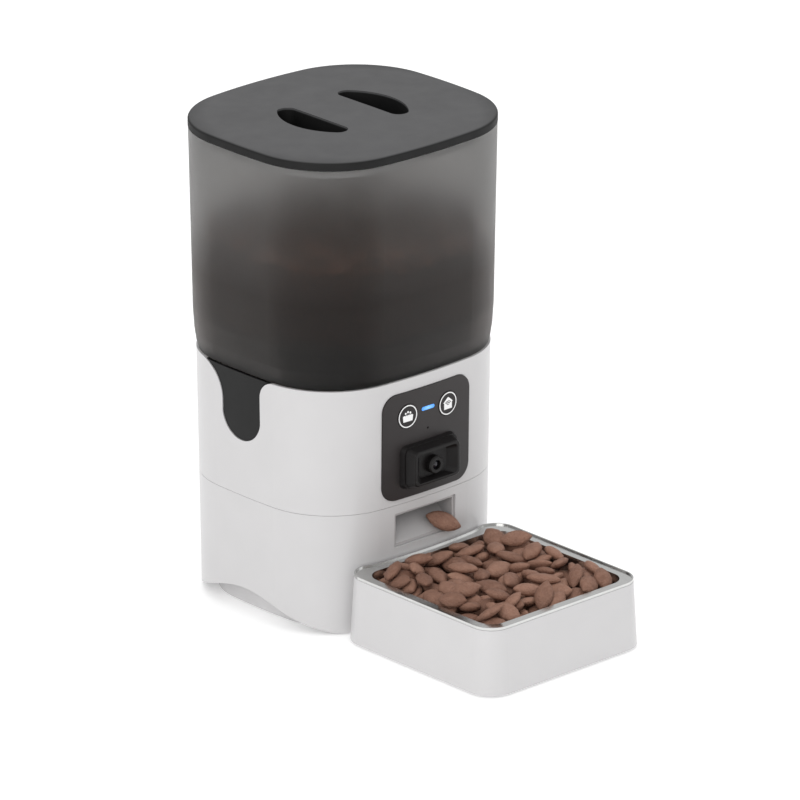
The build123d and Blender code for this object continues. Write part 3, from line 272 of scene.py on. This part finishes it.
dress(frosted("tank_frost", TANK_TINT, 0.5), "food_tank")
dress(moulded("funnel_plastic", (0.03, 0.028, 0.028), 0.4), "hopper_funnel")
dress(moulded("guard_silicone", (0.22, 0.22, 0.22), 0.7), "port_guard")
dress(moulded("wheel_plastic", (0.33, 0.33, 0.34), 0.5), "dispensing_wheel", "stirrer")

# ------------------------------------------------------------------ base housings
# Two glossy white shells that meet in a fine seam round the body, with the pan screwed under them.
WHITE = (0.565, 0.557, 0.56)
white_shell = moulded("white_shell", WHITE, 0.32, 0.0007, 0.0000015, 0.012, 0.012, Coat_Weight=0.25,
                      Coat_Roughness=0.12)
dress(white_shell, "upper_housing", "lower_housing")
dress(moulded("pan_plastic", WHITE, 0.42), "bottom_pan", "battery_cover")
dress(moulded("chute_plastic", (0.45, 0.44, 0.44), 0.34), "food_chute")

# ------------------------------------------------------------------ tank latches
# Tongues of dark satin plastic that spring outwards into the notches at both sides.
dress(moulded("latch_plastic", (0.006, 0.006, 0.006), 0.42, 0.0005, 0.00001, Specular_IOR_Level=0.2),
      "tank_latch_left", "tank_latch_right")

# ------------------------------------------------------------------ bowl tray
# White moulded stand that hugs the base and carries the bowl by its rim.
tray_white = moulded("tray_plastic", (0.575, 0.567, 0.57), 0.32, 0.0007, 0.0000015, 0.012, 0.012,
                     Coat_Weight=0.25, Coat_Roughness=0.12)
dress(tray_white, "bowl_tray")

# ------------------------------------------------------------------ steel bowl
# Pressed stainless bowl: polished rolled rim, satin inside from the drawing press.


def steel(name, colour, roughness, cell=0.0005, depth=0.0000006):
    """Polished steel: metal with fine wandering scuffs in its gloss."""
    made, tree, shader = fresh_material(name, colour, roughness, Metallic=1.0)
    shaded(tree, shader, colour, 0.04, drifting(tree, 0.01, 0, 1))
    tree.links.new(drifting(tree, 0.02, roughness * 0.85, roughness * 1.15, 3), shader.inputs["Roughness"])
    relief(tree, shader, drifting(tree, cell, 0, 1, 3), depth)
    return made


dress(steel("bowl_steel", (0.62, 0.62, 0.61), 0.2), "food_bowl")

# ------------------------------------------------------------------ control panel
# Smooth dark grey window that follows the curve of the front.
panel_look = moulded("panel_plastic", (0.026, 0.022, 0.022), 0.36, 0.0008, 0.000004, Specular_IOR_Level=0.3)
dress(panel_look, "control_panel")
dress(moulded("button_plastic", (0.018, 0.015, 0.015), 0.42, Specular_IOR_Level=0.3),
      "feed_button", "settings_button")
FRONT_BOW = 439.0 * MM
FRONT_MIDDLE = 173.7 / 2 * MM - FRONT_BOW
FOOT_INSET = 6.5 * MM
TOP_INSET = 4.3 * MM
BASE_TALL = 173.2 * MM
BUTTON_PROUD = 1.35 * MM
BUTTON_X = 18.0 * MM
BUTTON_Z = 147.2 * MM
PRINT_LIFT = 0.07 * MM
INK_THICK = 0.04 * MM


def on_front(u, v, lift):
    """Points of the base's front, u across and v up: its plan is an arc whose inset changes evenly from foot to
    top, and lift raises the points off it."""
    inset = FOOT_INSET + (TOP_INSET - FOOT_INSET) * v / BASE_TALL
    reach = np.sqrt((FRONT_BOW - inset + lift) ** 2 - u**2) + FRONT_MIDDLE
    return np.stack([u, axis_y - reach, v], -1)


def printed(name, shapes, look, body, lift=PRINT_LIFT):
    """Thin raised print: each shape is an outline (u, v) round its middle, a slab with a domed fan over it and
    its other fan sunk under the skin."""
    points, faces, start = [], [], 0
    for outline in shapes:
        u, v = np.array(outline, dtype=float).T
        count = len(u)
        middle = np.array([u.mean()]), np.array([v.mean()])
        for deep in (-lift, lift):
            points.append(on_front(u, v, BUTTON_PROUD + deep))
        for deep in (-lift, lift):
            points.append(on_front(*middle, BUTTON_PROUD + deep))
        here = np.arange(count)
        after = (here + 1) % count
        under, over = start + 2 * count, start + 2 * count + 1
        low, low_after = here + start, after + start
        high, high_after = low + count, low_after + count
        faces += np.stack([low, low_after, high_after, high], -1).tolist()
        faces += np.stack([high, high_after, np.full(count, over)], -1).tolist()
        faces += np.stack([low_after, low, np.full(count, under)], -1).tolist()
        start += 2 * count + 2
    mesh = bpy.data.meshes.new(name)
    mesh.from_pydata(np.concatenate(points), [], faces)
    mesh.materials.append(look)
    piece = bpy.data.objects.new(name, mesh)
    scene.collection.objects.link(piece)
    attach(piece, body)
    return piece


def ring_print(name, u, v, radius, width, look, body):
    """Printed ring: four circles of points, inner and outer, under and over the skin, joined round."""
    turn = np.linspace(0, 2 * pi, RING_POINTS, endpoint=False)
    inner = radius - width
    loops = [(inner, -PRINT_LIFT), (radius, -PRINT_LIFT), (radius, PRINT_LIFT), (inner, PRINT_LIFT)]
    points = [on_front(u + r * np.cos(turn), v + r * np.sin(turn), BUTTON_PROUD + deep) for r, deep in loops]
    loop, here = np.meshgrid(np.arange(4), np.arange(RING_POINTS), indexing="ij")
    nxt, after = (loop + 1) % 4, (here + 1) % RING_POINTS
    faces = np.stack([loop, loop, nxt, nxt], -1) * RING_POINTS + np.stack([here, after, after, here], -1)
    mesh = bpy.data.meshes.new(name)
    mesh.from_pydata(np.concatenate(points), [], faces.reshape(-1, 4).tolist())
    mesh.materials.append(look)
    piece = bpy.data.objects.new(name, mesh)
    scene.collection.objects.link(piece)
    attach(piece, body)
    return piece


RING_POINTS = 72
RING_RADIUS = 7.9 * MM
RING_WIDTH = 0.75 * MM
DOT_POINTS = 16
WAVE_WIDTH = 0.55
WAVE_DROP = 1.6
print_white = moulded("print_white", (0.9, 0.9, 0.9), 0.5)
print_dark = moulded("print_dark", (0.03, 0.027, 0.028), 0.45)
ring_print("feed_ring", -BUTTON_X, BUTTON_Z, RING_RADIUS, RING_WIDTH, print_white, "feed_button")
ring_print("settings_ring", BUTTON_X, BUTTON_Z, RING_RADIUS, RING_WIDTH, print_white, "settings_button")


def placed(outline, u, v):
    """Outline in millimetres, moved to its button."""
    return np.array(outline) * MM + (u, v)


def dot(u, v, radius):
    """Circle of a radius round (u, v)."""
    turn = np.linspace(0, 2 * pi, DOT_POINTS, endpoint=False)
    return np.stack([u + radius * np.cos(turn), v + radius * np.sin(turn)], -1)


# A bowl of food: a flared body with a scalloped top, and three kibbles over it.
bag = [(-3.9, -3.6), (3.9, -3.6), (4.4, 0.3), (3.4, 1.0), (2.6, 0.2), (1.6, 1.2), (0.8, 0.3), (0, 1.3),
       (-0.8, 0.3), (-1.6, 1.2), (-2.6, 0.2), (-3.4, 1.0), (-4.4, 0.3)]
crumbs = [dot(-2.0, 2.3, 0.75), dot(0.0, 3.0, 0.8), dot(2.0, 2.3, 0.75)]
printed("feed_icon", [placed(part, -BUTTON_X, BUTTON_Z) for part in [bag, *crumbs]], print_white, "feed_button")
# A house with a small radio mark in it.
house = [(-3.6, -3.9), (3.6, -3.9), (3.6, 0.6), (4.4, 0.9), (0.5, 4.3), (-0.5, 4.3), (-4.4, 0.9), (-3.6, 0.6)]
printed("settings_icon", [placed(house, BUTTON_X, BUTTON_Z)], print_white, "settings_button")


def wave(radius, width, half=0.9):
    """Arc of a radio wave, half radians either side of straight up, as a closed strip of points."""
    turn = np.linspace(pi / 2 - half, pi / 2 + half, 9)
    far = np.stack([radius * np.cos(turn), radius * np.sin(turn)], -1)
    return np.concatenate([far, far[::-1] * (radius - width) / radius])


def strip_print(name, outlines, look, body, lift):
    """Printed strips: each outline's first half runs out and its second half back, joined across by quads."""
    points, faces, start = [], [], 0
    for outline in outlines:
        half = len(outline) // 2
        points.append(on_front(outline[:, 0], outline[:, 1], BUTTON_PROUD + lift))
        here = np.arange(half - 1)
        back = 2 * half - 1 - here
        faces += (np.stack([here, here + 1, back - 1, back], -1)[:, ::-1] + start).tolist()
        start += 2 * half
    mesh = bpy.data.meshes.new(name)
    mesh.from_pydata(np.concatenate(points), [], faces)
    mesh.materials.append(look)
    piece = bpy.data.objects.new(name, mesh)
    scene.collection.objects.link(piece)
    thick = piece.modifiers.new("ink", "SOLIDIFY")
    thick.thickness = INK_THICK
    thick.offset = 1
    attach(piece, body)
    return piece


waves = [placed(wave(radius, WAVE_WIDTH) - (0, WAVE_DROP), BUTTON_X, BUTTON_Z) for radius in (1.3, 2.4, 3.5)]
strip_print("radio_mark", waves, print_dark, "settings_button", PRINT_LIFT + 0.02 * MM)

# Light pipe: blue, brightest over the small lamp in its middle.
LIGHT_Z = 149.0 * MM
GLOW_WIDE = 6 * MM
GLOW_TALL = 2 * MM
lamp_look, lamp_tree, lamp_shader = fresh_material("light_pipe_blue", (0.03, 0.16, 0.5), 0.3,
                                                   Emission_Strength=1.0)
lamp_place = lamp_tree.nodes.new("ShaderNodeTexCoord")
lamp_map = lamp_tree.nodes.new("ShaderNodeMapping")
lamp_map.inputs["Scale"].default_value = (1 / GLOW_WIDE, 0, 1 / GLOW_TALL)
lamp_map.inputs["Location"].default_value = (0, 0, -LIGHT_Z / GLOW_TALL)
lamp_ball = lamp_tree.nodes.new("ShaderNodeTexGradient")
lamp_ball.gradient_type = "SPHERICAL"
lamp_ramp = lamp_tree.nodes.new("ShaderNodeMix")
lamp_ramp.data_type = "RGBA"
lamp_ramp.inputs["A"].default_value = (0.02, 0.2, 0.62, 1)
lamp_ramp.inputs["B"].default_value = (0.32, 0.6, 0.95, 1)
lamp_tree.links.new(lamp_place.outputs["Object"], lamp_map.inputs["Vector"])
lamp_tree.links.new(lamp_map.outputs["Vector"], lamp_ball.inputs["Vector"])
lamp_tree.links.new(lamp_ball.outputs["Fac"], lamp_ramp.inputs["Factor"])
lamp_tree.links.new(lamp_ramp.outputs["Result"], lamp_shader.inputs["Emission Color"])
dress(lamp_look, "light_pipe")

# ------------------------------------------------------------------ camera
# A satin black shroud and stepped barrel on the panel, with a small coated glass lens in its mouth.
dress(moulded("camera_plastic", (0.008, 0.007, 0.007), 0.4, Specular_IOR_Level=0.22),
      "camera_mount", "camera_shroud", "lens_barrel")
dress(moulded("lens_glass", (0.012, 0.011, 0.016), 0.06, 0.002, 0.0000003, 0.3, 0.02), "lens_glass")

# ------------------------------------------------------------------ dry food in the bowl
# Baked almond-shaped kibbles, flat and pointed at both ends, lying as they fell and heaped a little
# above the rim. They go up with the bowl.
KIBBLE_LONG = 21.5 * MM
KIBBLE_WIDE = 13.0 * MM
KIBBLE_THICK = 6.8 * MM
KIBBLE_ROUND = 10
KIBBLE_RINGS = 7
KIBBLE_POINT = 2.3  # how late the sides draw in to the pointed ends
KIBBLE_FALL = 0.6  # how late the thickness falls off
STEEPEST_LEAN = 0.65
BOWL_HALF = (61.5 * MM, 60.8 * MM)
BOWL_FORWARD = 1.85 * MM  # the hollow is this far in front of the rim's middle
BOWL_CORNER = 11.7 * MM
BOWL_TAPER = 7.0 * MM
BOWL_FLOOR = 12.9 * MM
BOWL_RIM = 48.0 * MM
BOWL_ROUND = 7.0 * MM
CORNER_GROWTH = 4.0 * MM
WALL_GAP = 0.3 * MM
HEAP_RISE = 6.0 * MM
CELL = 1.0 * MM
chance = np.random.default_rng(41)


def kibble_form():
    """Unit kibble of length, width and thickness 1: at s from end to end, an ellipse of 1 - |s|^2.3 wide and
    (1 - s^2)^0.6 thick; returns the points and the quads of its closed grid, poles drawn to the tips."""
    along = np.sin(np.linspace(-1, 1, KIBBLE_RINGS + 2) * pi / 2)[1:-1, None]
    turn = np.linspace(0, 2 * pi, KIBBLE_ROUND, endpoint=False)[None, :]
    wide = 1 - np.abs(along) ** KIBBLE_POINT
    thick = (1 - along**2) ** KIBBLE_FALL
    rings = np.stack([along + 0 * turn, wide * np.cos(turn), thick * np.sin(turn)], -1) / 2
    points = np.concatenate([rings.reshape(-1, 3), [[-0.5, 0, 0], [0.5, 0, 0]]])
    row, column = np.meshgrid(np.arange(KIBBLE_RINGS - 1), np.arange(KIBBLE_ROUND), indexing="ij")
    after = (column + 1) % KIBBLE_ROUND
    quads = np.stack([row * KIBBLE_ROUND + column, (row + 1) * KIBBLE_ROUND + column,
                      (row + 1) * KIBBLE_ROUND + after, row * KIBBLE_ROUND + after], -1).reshape(-1, 4)
    here = np.arange(KIBBLE_ROUND)
    nxt = (here + 1) % KIBBLE_ROUND
    first, last = len(points) - 2, len(points) - 1
    end = (KIBBLE_RINGS - 1) * KIBBLE_ROUND
    caps = np.concatenate([np.stack([here, nxt, np.full_like(here, first)], -1),
                           np.stack([end + nxt, end + here, np.full_like(here, last)], -1)])
    return points, quads, caps


kibble_points, kibble_quads, kibble_caps = kibble_form()


def settle(ground, low, count, keep, chance, tries=24):
    """Drops kibbles one by one on a height map: of the tried places each takes the lowest, lies along the
    plane fitted to what is under it, rests on the highest point there, and adds its own back to the map."""
    laid = []
    rows, columns = ground.shape
    reach = int(KIBBLE_LONG / CELL / 2) + 1
    offset = np.arange(-reach, reach + 1) * CELL
    ox, oy = np.meshgrid(offset, offset, indexing="ij")
    for _ in range(count):
        size = chance.uniform(0.86, 1.12, 3) * (KIBBLE_LONG, KIBBLE_WIDE, KIBBLE_THICK)
        best = None
        for _ in range(tries):
            i = int(chance.integers(reach, rows - reach))
            j = int(chance.integers(reach, columns - reach))
            patch = ground[i - reach:i + reach + 1, j - reach:j + reach + 1]
            turn = chance.uniform(0, pi)
            u = ox * cos(turn) + oy * sin(turn)
            v = -ox * sin(turn) + oy * cos(turn)
            s = np.clip(2 * u / size[0], -1, 1)
            wide = np.maximum(1 - np.abs(s) ** KIBBLE_POINT, 1e-4) * size[1] / 2
            under = (np.abs(u) < size[0] / 2) & (np.abs(v) < wide)
            heights = patch[under]
            if heights.max() > keep:
                continue
            fit, *_ = np.linalg.lstsq(np.stack([ox[under], oy[under], np.ones(under.sum())], -1), heights,
                                      rcond=None)
            lean = np.clip(fit[:2], -STEEPEST_LEAN, STEEPEST_LEAN)
            plane = ox * lean[0] + oy * lean[1]
            deep = np.sqrt(np.clip(1 - (v / wide) ** 2, 0, 1)) * (1 - s**2) ** KIBBLE_FALL * size[2] / 2
            rest = np.quantile((patch - plane + deep)[under], 0.9)
            if best is None or rest < best[0]:
                best = (rest, i, j, turn, lean, plane, deep, under)
        if best is None:
            continue
        rest, i, j, turn, lean, plane, deep, under = best
        patch = ground[i - reach:i + reach + 1, j - reach:j + reach + 1]
        patch[under] = np.maximum(patch[under], (rest + plane + deep)[under])
        normal = Vector((-lean[0], -lean[1], 1)).normalized()
        heading = Vector((cos(turn), sin(turn), 0))
        heading = (heading - normal * heading.dot(normal)).normalized()
        side = normal.cross(heading)
        laid.append((np.array([heading, side, normal]) * size[:, None],
                     np.array([low[0] + i * CELL, low[1] + j * CELL, rest])))
    return laid


def poured(name, laid, body, look, chance, hold=None):
    """One mesh of many kibbles: the unit form turned by each kibble's three axes and moved to its place, with a
    value from 0 to 1 on each for its bake; hold, if given, draws the points in to what holds them."""
    turns = np.array([axes for axes, _ in laid])
    spots = np.array([spot for _, spot in laid])
    points = np.einsum("pk,nkc->npc", kibble_points, turns) + spots[:, None, :]
    if hold:
        points = hold(points)
    shift = np.arange(len(laid))[:, None, None] * len(kibble_points)
    quads = (kibble_quads[None] + shift).reshape(-1, 4)
    caps = (kibble_caps[None] + shift).reshape(-1, 3)
    mesh = bpy.data.meshes.new(name)
    mesh.from_pydata(points.reshape(-1, 3), [], quads.tolist() + caps.tolist())
    mesh.shade_smooth()
    bake = np.repeat(chance.uniform(0, 1, len(laid)), len(kibble_points))
    mesh.attributes.new("bake", "FLOAT", "POINT").data.foreach_set("value", bake.astype(np.float32))
    mesh.materials.append(look)
    piece = bpy.data.objects.new(name, mesh)
    scene.collection.objects.link(piece)
    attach(piece, body)
    return piece


def baked_food(name, pale, dark):
    """Kibble: each its own bake between two browns, with an open-pored crust and darker specks of bran."""
    made, tree, shader = fresh_material(name, pale, 0.72)
    own = tree.nodes.new("ShaderNodeAttribute")
    own.attribute_name = "bake"
    wander = drifting(tree, 0.004, -0.25, 0.25, 4)
    sum_up = tree.nodes.new("ShaderNodeMath")
    sum_up.use_clamp = True
    tree.links.new(own.outputs["Fac"], sum_up.inputs[0])
    tree.links.new(wander, sum_up.inputs[1])
    crust = tree.nodes.new("ShaderNodeMix")
    crust.data_type = "RGBA"
    crust.inputs["A"].default_value = (*pale, 1)
    crust.inputs["B"].default_value = (*dark, 1)
    tree.links.new(sum_up.outputs["Value"], crust.inputs["Factor"])
    tree.links.new(crust.outputs["Result"], shader.inputs["Base Color"])
    tree.links.new(drifting(tree, 0.002, 0.6, 0.85, 3), shader.inputs["Roughness"])
    relief(tree, shader, drifting(tree, 0.0012, 0, 1, 5), 0.0004)
    return made


food_look = baked_food("kibble_crust", (0.33, 0.175, 0.12), (0.2, 0.098, 0.064))
bowl_low, bowl_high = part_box("food_bowl")
bowl_x = (bowl_low[0] + bowl_high[0]) / 2
bowl_y = (bowl_low[1] + bowl_high[1]) / 2 - BOWL_FORWARD
MARGIN = 13 * MM
NO_GROUND = 0.6  # higher than any kibble may rest, so none lies there
BOWL_COUNT = 335
spread = [np.arange(-half - MARGIN, half + MARGIN, CELL) for half in BOWL_HALF]
gx, gy = np.meshgrid(*spread, indexing="ij")
corner_x = np.maximum(np.abs(gx) - (BOWL_HALF[0] - BOWL_CORNER), 0)
corner_y = np.maximum(np.abs(gy) - (BOWL_HALF[1] - BOWL_CORNER), 0)
inside = BOWL_CORNER - np.hypot(corner_x, corner_y)
inside = np.where((corner_x > 0) & (corner_y > 0), inside,
                  np.minimum(BOWL_HALF[0] - np.abs(gx), BOWL_HALF[1] - np.abs(gy)))
wall = BOWL_RIM - np.clip(inside / BOWL_TAPER, 0, 1) * (BOWL_RIM - BOWL_FLOOR)
ground = np.where(inside < 0.5 * MM, NO_GROUND, wall)
heap_start = bowl_x + spread[0][0], bowl_y + spread[1][0]
bowl_food = settle(ground, heap_start, BOWL_COUNT, BOWL_RIM + HEAP_RISE, chance)


def held(points):
    """Points drawn in to the bowl's inside: with the share of the depth its walls stand in by the taper and its
    corners grow rounder, and a round joins them to the floor."""
    x, y = points[..., 0] - bowl_x, points[..., 1] - bowl_y
    z = np.maximum(points[..., 2], BOWL_FLOOR + WALL_GAP)
    below = z < BOWL_RIM
    deep = np.clip((BOWL_RIM - z) / (BOWL_RIM - BOWL_FLOOR), 0, 1)
    corner = BOWL_CORNER + CORNER_GROWTH * deep
    radius = corner - WALL_GAP
    core_x, core_y = (half - BOWL_TAPER * deep - corner for half in BOWL_HALF)
    past_x, past_y = np.maximum(np.abs(x) - core_x, 0), np.maximum(np.abs(y) - core_y, 0)
    far = np.hypot(past_x, past_y)
    pull = np.where(below & (far > radius), radius / np.maximum(far, 1e-9), 1)
    x = np.sign(x) * (np.minimum(np.abs(x), core_x) + past_x * pull)
    y = np.sign(y) * (np.minimum(np.abs(y), core_y) + past_y * pull)
    turn_in = np.clip(BOWL_ROUND - (radius - np.minimum(far, radius)), 0, BOWL_ROUND)
    lowest = BOWL_FLOOR + WALL_GAP + BOWL_ROUND - np.sqrt(BOWL_ROUND**2 - turn_in**2)
    return np.stack([x + bowl_x, y + bowl_y, np.maximum(z, lowest)], -1)


poured("bowl_kibble", bowl_food, "bowl", food_look, chance, held)

# ------------------------------------------------------------------ one kibble leaving the chute
# It slides down the ramp askew and is halfway out over the bowl.
RAMP_SLOPE = radians(36.6)
slide_down = Vector((0, -cos(RAMP_SLOPE), -sin(RAMP_SLOPE)))
long_way = (Vector((0.76, 0, 0)) + slide_down * 0.65).normalized()  # askew across the ramp
flat_up = Vector((0, -sin(RAMP_SLOPE), cos(RAMP_SLOPE)))
wide_way = flat_up.cross(long_way)
CHUTE_KIBBLE_SIZE = (26.0, 15.0, 9.0)
chute_axes = np.array([long_way, wide_way, flat_up]) * np.array(CHUTE_KIBBLE_SIZE)[:, None] * MM
chute_spot = np.array([17.5 * MM, axis_y - 79.5 * MM, 62.3 * MM])
poured("chute_kibble", [(chute_axes, chute_spot)], "base", food_look, chance)

# ------------------------------------------------------------------ food in the tank
# The store of kibble stands on the funnel and leans up towards the left: a heaped body with loose
# kibbles over it. It lifts out with the tank.
STORE_HALF = (88.6 * MM, 80.4 * MM)
STORE_POWER = 3.09
STORE_LOW = 201.0 * MM
STORE_EDGE = 243.0 * MM
STORE_CROWN = 9.0 * MM
STORE_LEAN = -0.11
STORE_TURNS = 160
STORE_COUNT = 220
STORE_KEEP = 290 * MM
LUMP_DEPTH = 0.9 * MM
FLOOR_RINGS, WALL_RINGS, CROWN_RINGS = 8, 14, 11


def store_rise(x, y, share):
    """Height of the store's top: its edge, a crown that falls off with the square of the share, and the lean."""
    return STORE_EDGE + STORE_CROWN * (1 - share**2) + STORE_LEAN * x


turn = np.linspace(0, 2 * pi, STORE_TURNS, endpoint=False)[None, :]
reach = (np.abs(np.cos(turn) / STORE_HALF[0]) ** STORE_POWER
         + np.abs(np.sin(turn) / STORE_HALF[1]) ** STORE_POWER) ** (-1 / STORE_POWER)
share = np.concatenate([np.linspace(0.15, 1, FLOOR_RINGS), np.ones(WALL_RINGS),
                        np.linspace(1, 0.08, CROWN_RINGS + 1)[1:]])[:, None]
rise = np.concatenate([np.zeros(FLOOR_RINGS), np.linspace(0, 1, WALL_RINGS), np.ones(CROWN_RINGS)])[:, None]
x = reach * share * np.cos(turn)
y = reach * share * np.sin(turn)
top = store_rise(x, y, share)
z = STORE_LOW + (top - STORE_LOW) * rise
# Lumps: two crossed waves that run round and up the wall.
lumps = np.sin(19 * turn + z / (6 * MM)) * np.sin(z / (3.5 * MM) - 7 * turn) * LUMP_DEPTH
x += lumps * np.cos(turn) * (share > 0.99)
y += lumps * np.sin(turn) * (share > 0.99)
rings = share.shape[0]
row, column = np.meshgrid(np.arange(rings - 1), np.arange(STORE_TURNS), indexing="ij")
after = (column + 1) % STORE_TURNS
quads = np.stack([row * STORE_TURNS + column, row * STORE_TURNS + after, (row + 1) * STORE_TURNS + after,
                  (row + 1) * STORE_TURNS + column], -1).reshape(-1, 4)
points = np.stack([x, y + axis_y, z], -1).reshape(-1, 3)
poles = np.array([[0, axis_y, STORE_LOW], [0, axis_y, STORE_EDGE + STORE_CROWN]])
here = np.arange(STORE_TURNS)
after = (here + 1) % STORE_TURNS
last = (rings - 1) * STORE_TURNS
caps = np.concatenate([np.stack([after, here, np.full(STORE_TURNS, len(points))], -1),
                       np.stack([last + here, last + after, np.full(STORE_TURNS, len(points) + 1)], -1)])
store_mesh = bpy.data.meshes.new("food_store")
store_mesh.from_pydata(np.concatenate([points, poles]), [], quads.tolist() + caps.tolist())
store_mesh.shade_smooth()
# The heaped body is painted far darker than the loose kibbles: painted shade of the gaps deep in the heap.
store_mesh.materials.append(baked_food("store_crust_painted_shade", (0.1, 0.05, 0.034), (0.045, 0.022, 0.016)))
store = bpy.data.objects.new("food_store", store_mesh)
scene.collection.objects.link(store)
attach(store, "tank")
across = [np.arange(-half - MARGIN, half + MARGIN, CELL) for half in STORE_HALF]
sx, sy = np.meshgrid(*across, indexing="ij")
out = (np.abs(sx / STORE_HALF[0]) ** STORE_POWER + np.abs(sy / STORE_HALF[1]) ** STORE_POWER) ** (1 / STORE_POWER)
store_ground = np.where(out > 0.99, NO_GROUND, store_rise(sx, sy, out) - 2 * MM)
store_start = across[0][0], axis_y + across[1][0]
store_food = settle(store_ground, store_start, STORE_COUNT, STORE_KEEP, chance, 16)
poured("tank_kibble", store_food, "tank", food_look, chance)

# ------------------------------------------------------------------ pan, feet and screws
# The pan closes the base from below; soft feet grip the floor, zinc screws hold pan, boards and gearbox.
dress(moulded("foot_rubber", (0.03, 0.03, 0.03), 0.85, 0.0005, 0.00004), "rubber_feet", "tray_feet")
dress(steel("zinc_screw", (0.55, 0.55, 0.56), 0.35), "pan_screws", "battery_screw", "panel_screws",
      "gearbox_screws", "board_screws", "latch_pins")

# ------------------------------------------------------------------ backup cells
# Three cells in a grey box under the base, each in a printed sleeve.
dress(moulded("battery_box_plastic", (0.3, 0.3, 0.31), 0.5), "battery_box")
dress(moulded("cell_sleeve", (0.1, 0.11, 0.14), 0.3, 0.003, 0.00001, 0.2), "battery_cells")

# ------------------------------------------------------------------ gearbox and motor
# A nylon gear driven by a brass pinion, bronze bushes, and a small motor in a drawn steel can.
dress(moulded("gearbox_plastic", (0.34, 0.34, 0.35), 0.5), "gearbox_case", "gearbox_cover")
dress(moulded("gear_nylon", (0.75, 0.73, 0.66), 0.45), "output_gear")
dress(steel("pinion_brass", (0.68, 0.5, 0.22), 0.3), "motor_pinion")
dress(steel("bush_bronze", (0.6, 0.42, 0.22), 0.5, 0.0003, 0.00001), "shaft_bushes")
dress(steel("motor_can", (0.58, 0.58, 0.6), 0.33), "motor", "output_shaft", "microphone")

# ------------------------------------------------------------------ boards, switches, socket, speaker
# Green boards behind the panel, in the camera and on the back wall, with black parts soldered on.
dress(moulded("board_mask", (0.02, 0.16, 0.07), 0.32, 0.0015, 0.00002, 0.25), "button_board", "camera_board",
      "main_board")
dress(moulded("part_black", (0.03, 0.03, 0.032), 0.45), "tact_switches", "food_sensors", "power_inlet")
dress(moulded("speaker_cone", (0.025, 0.025, 0.027), 0.8, 0.0008, 0.00004), "speaker")
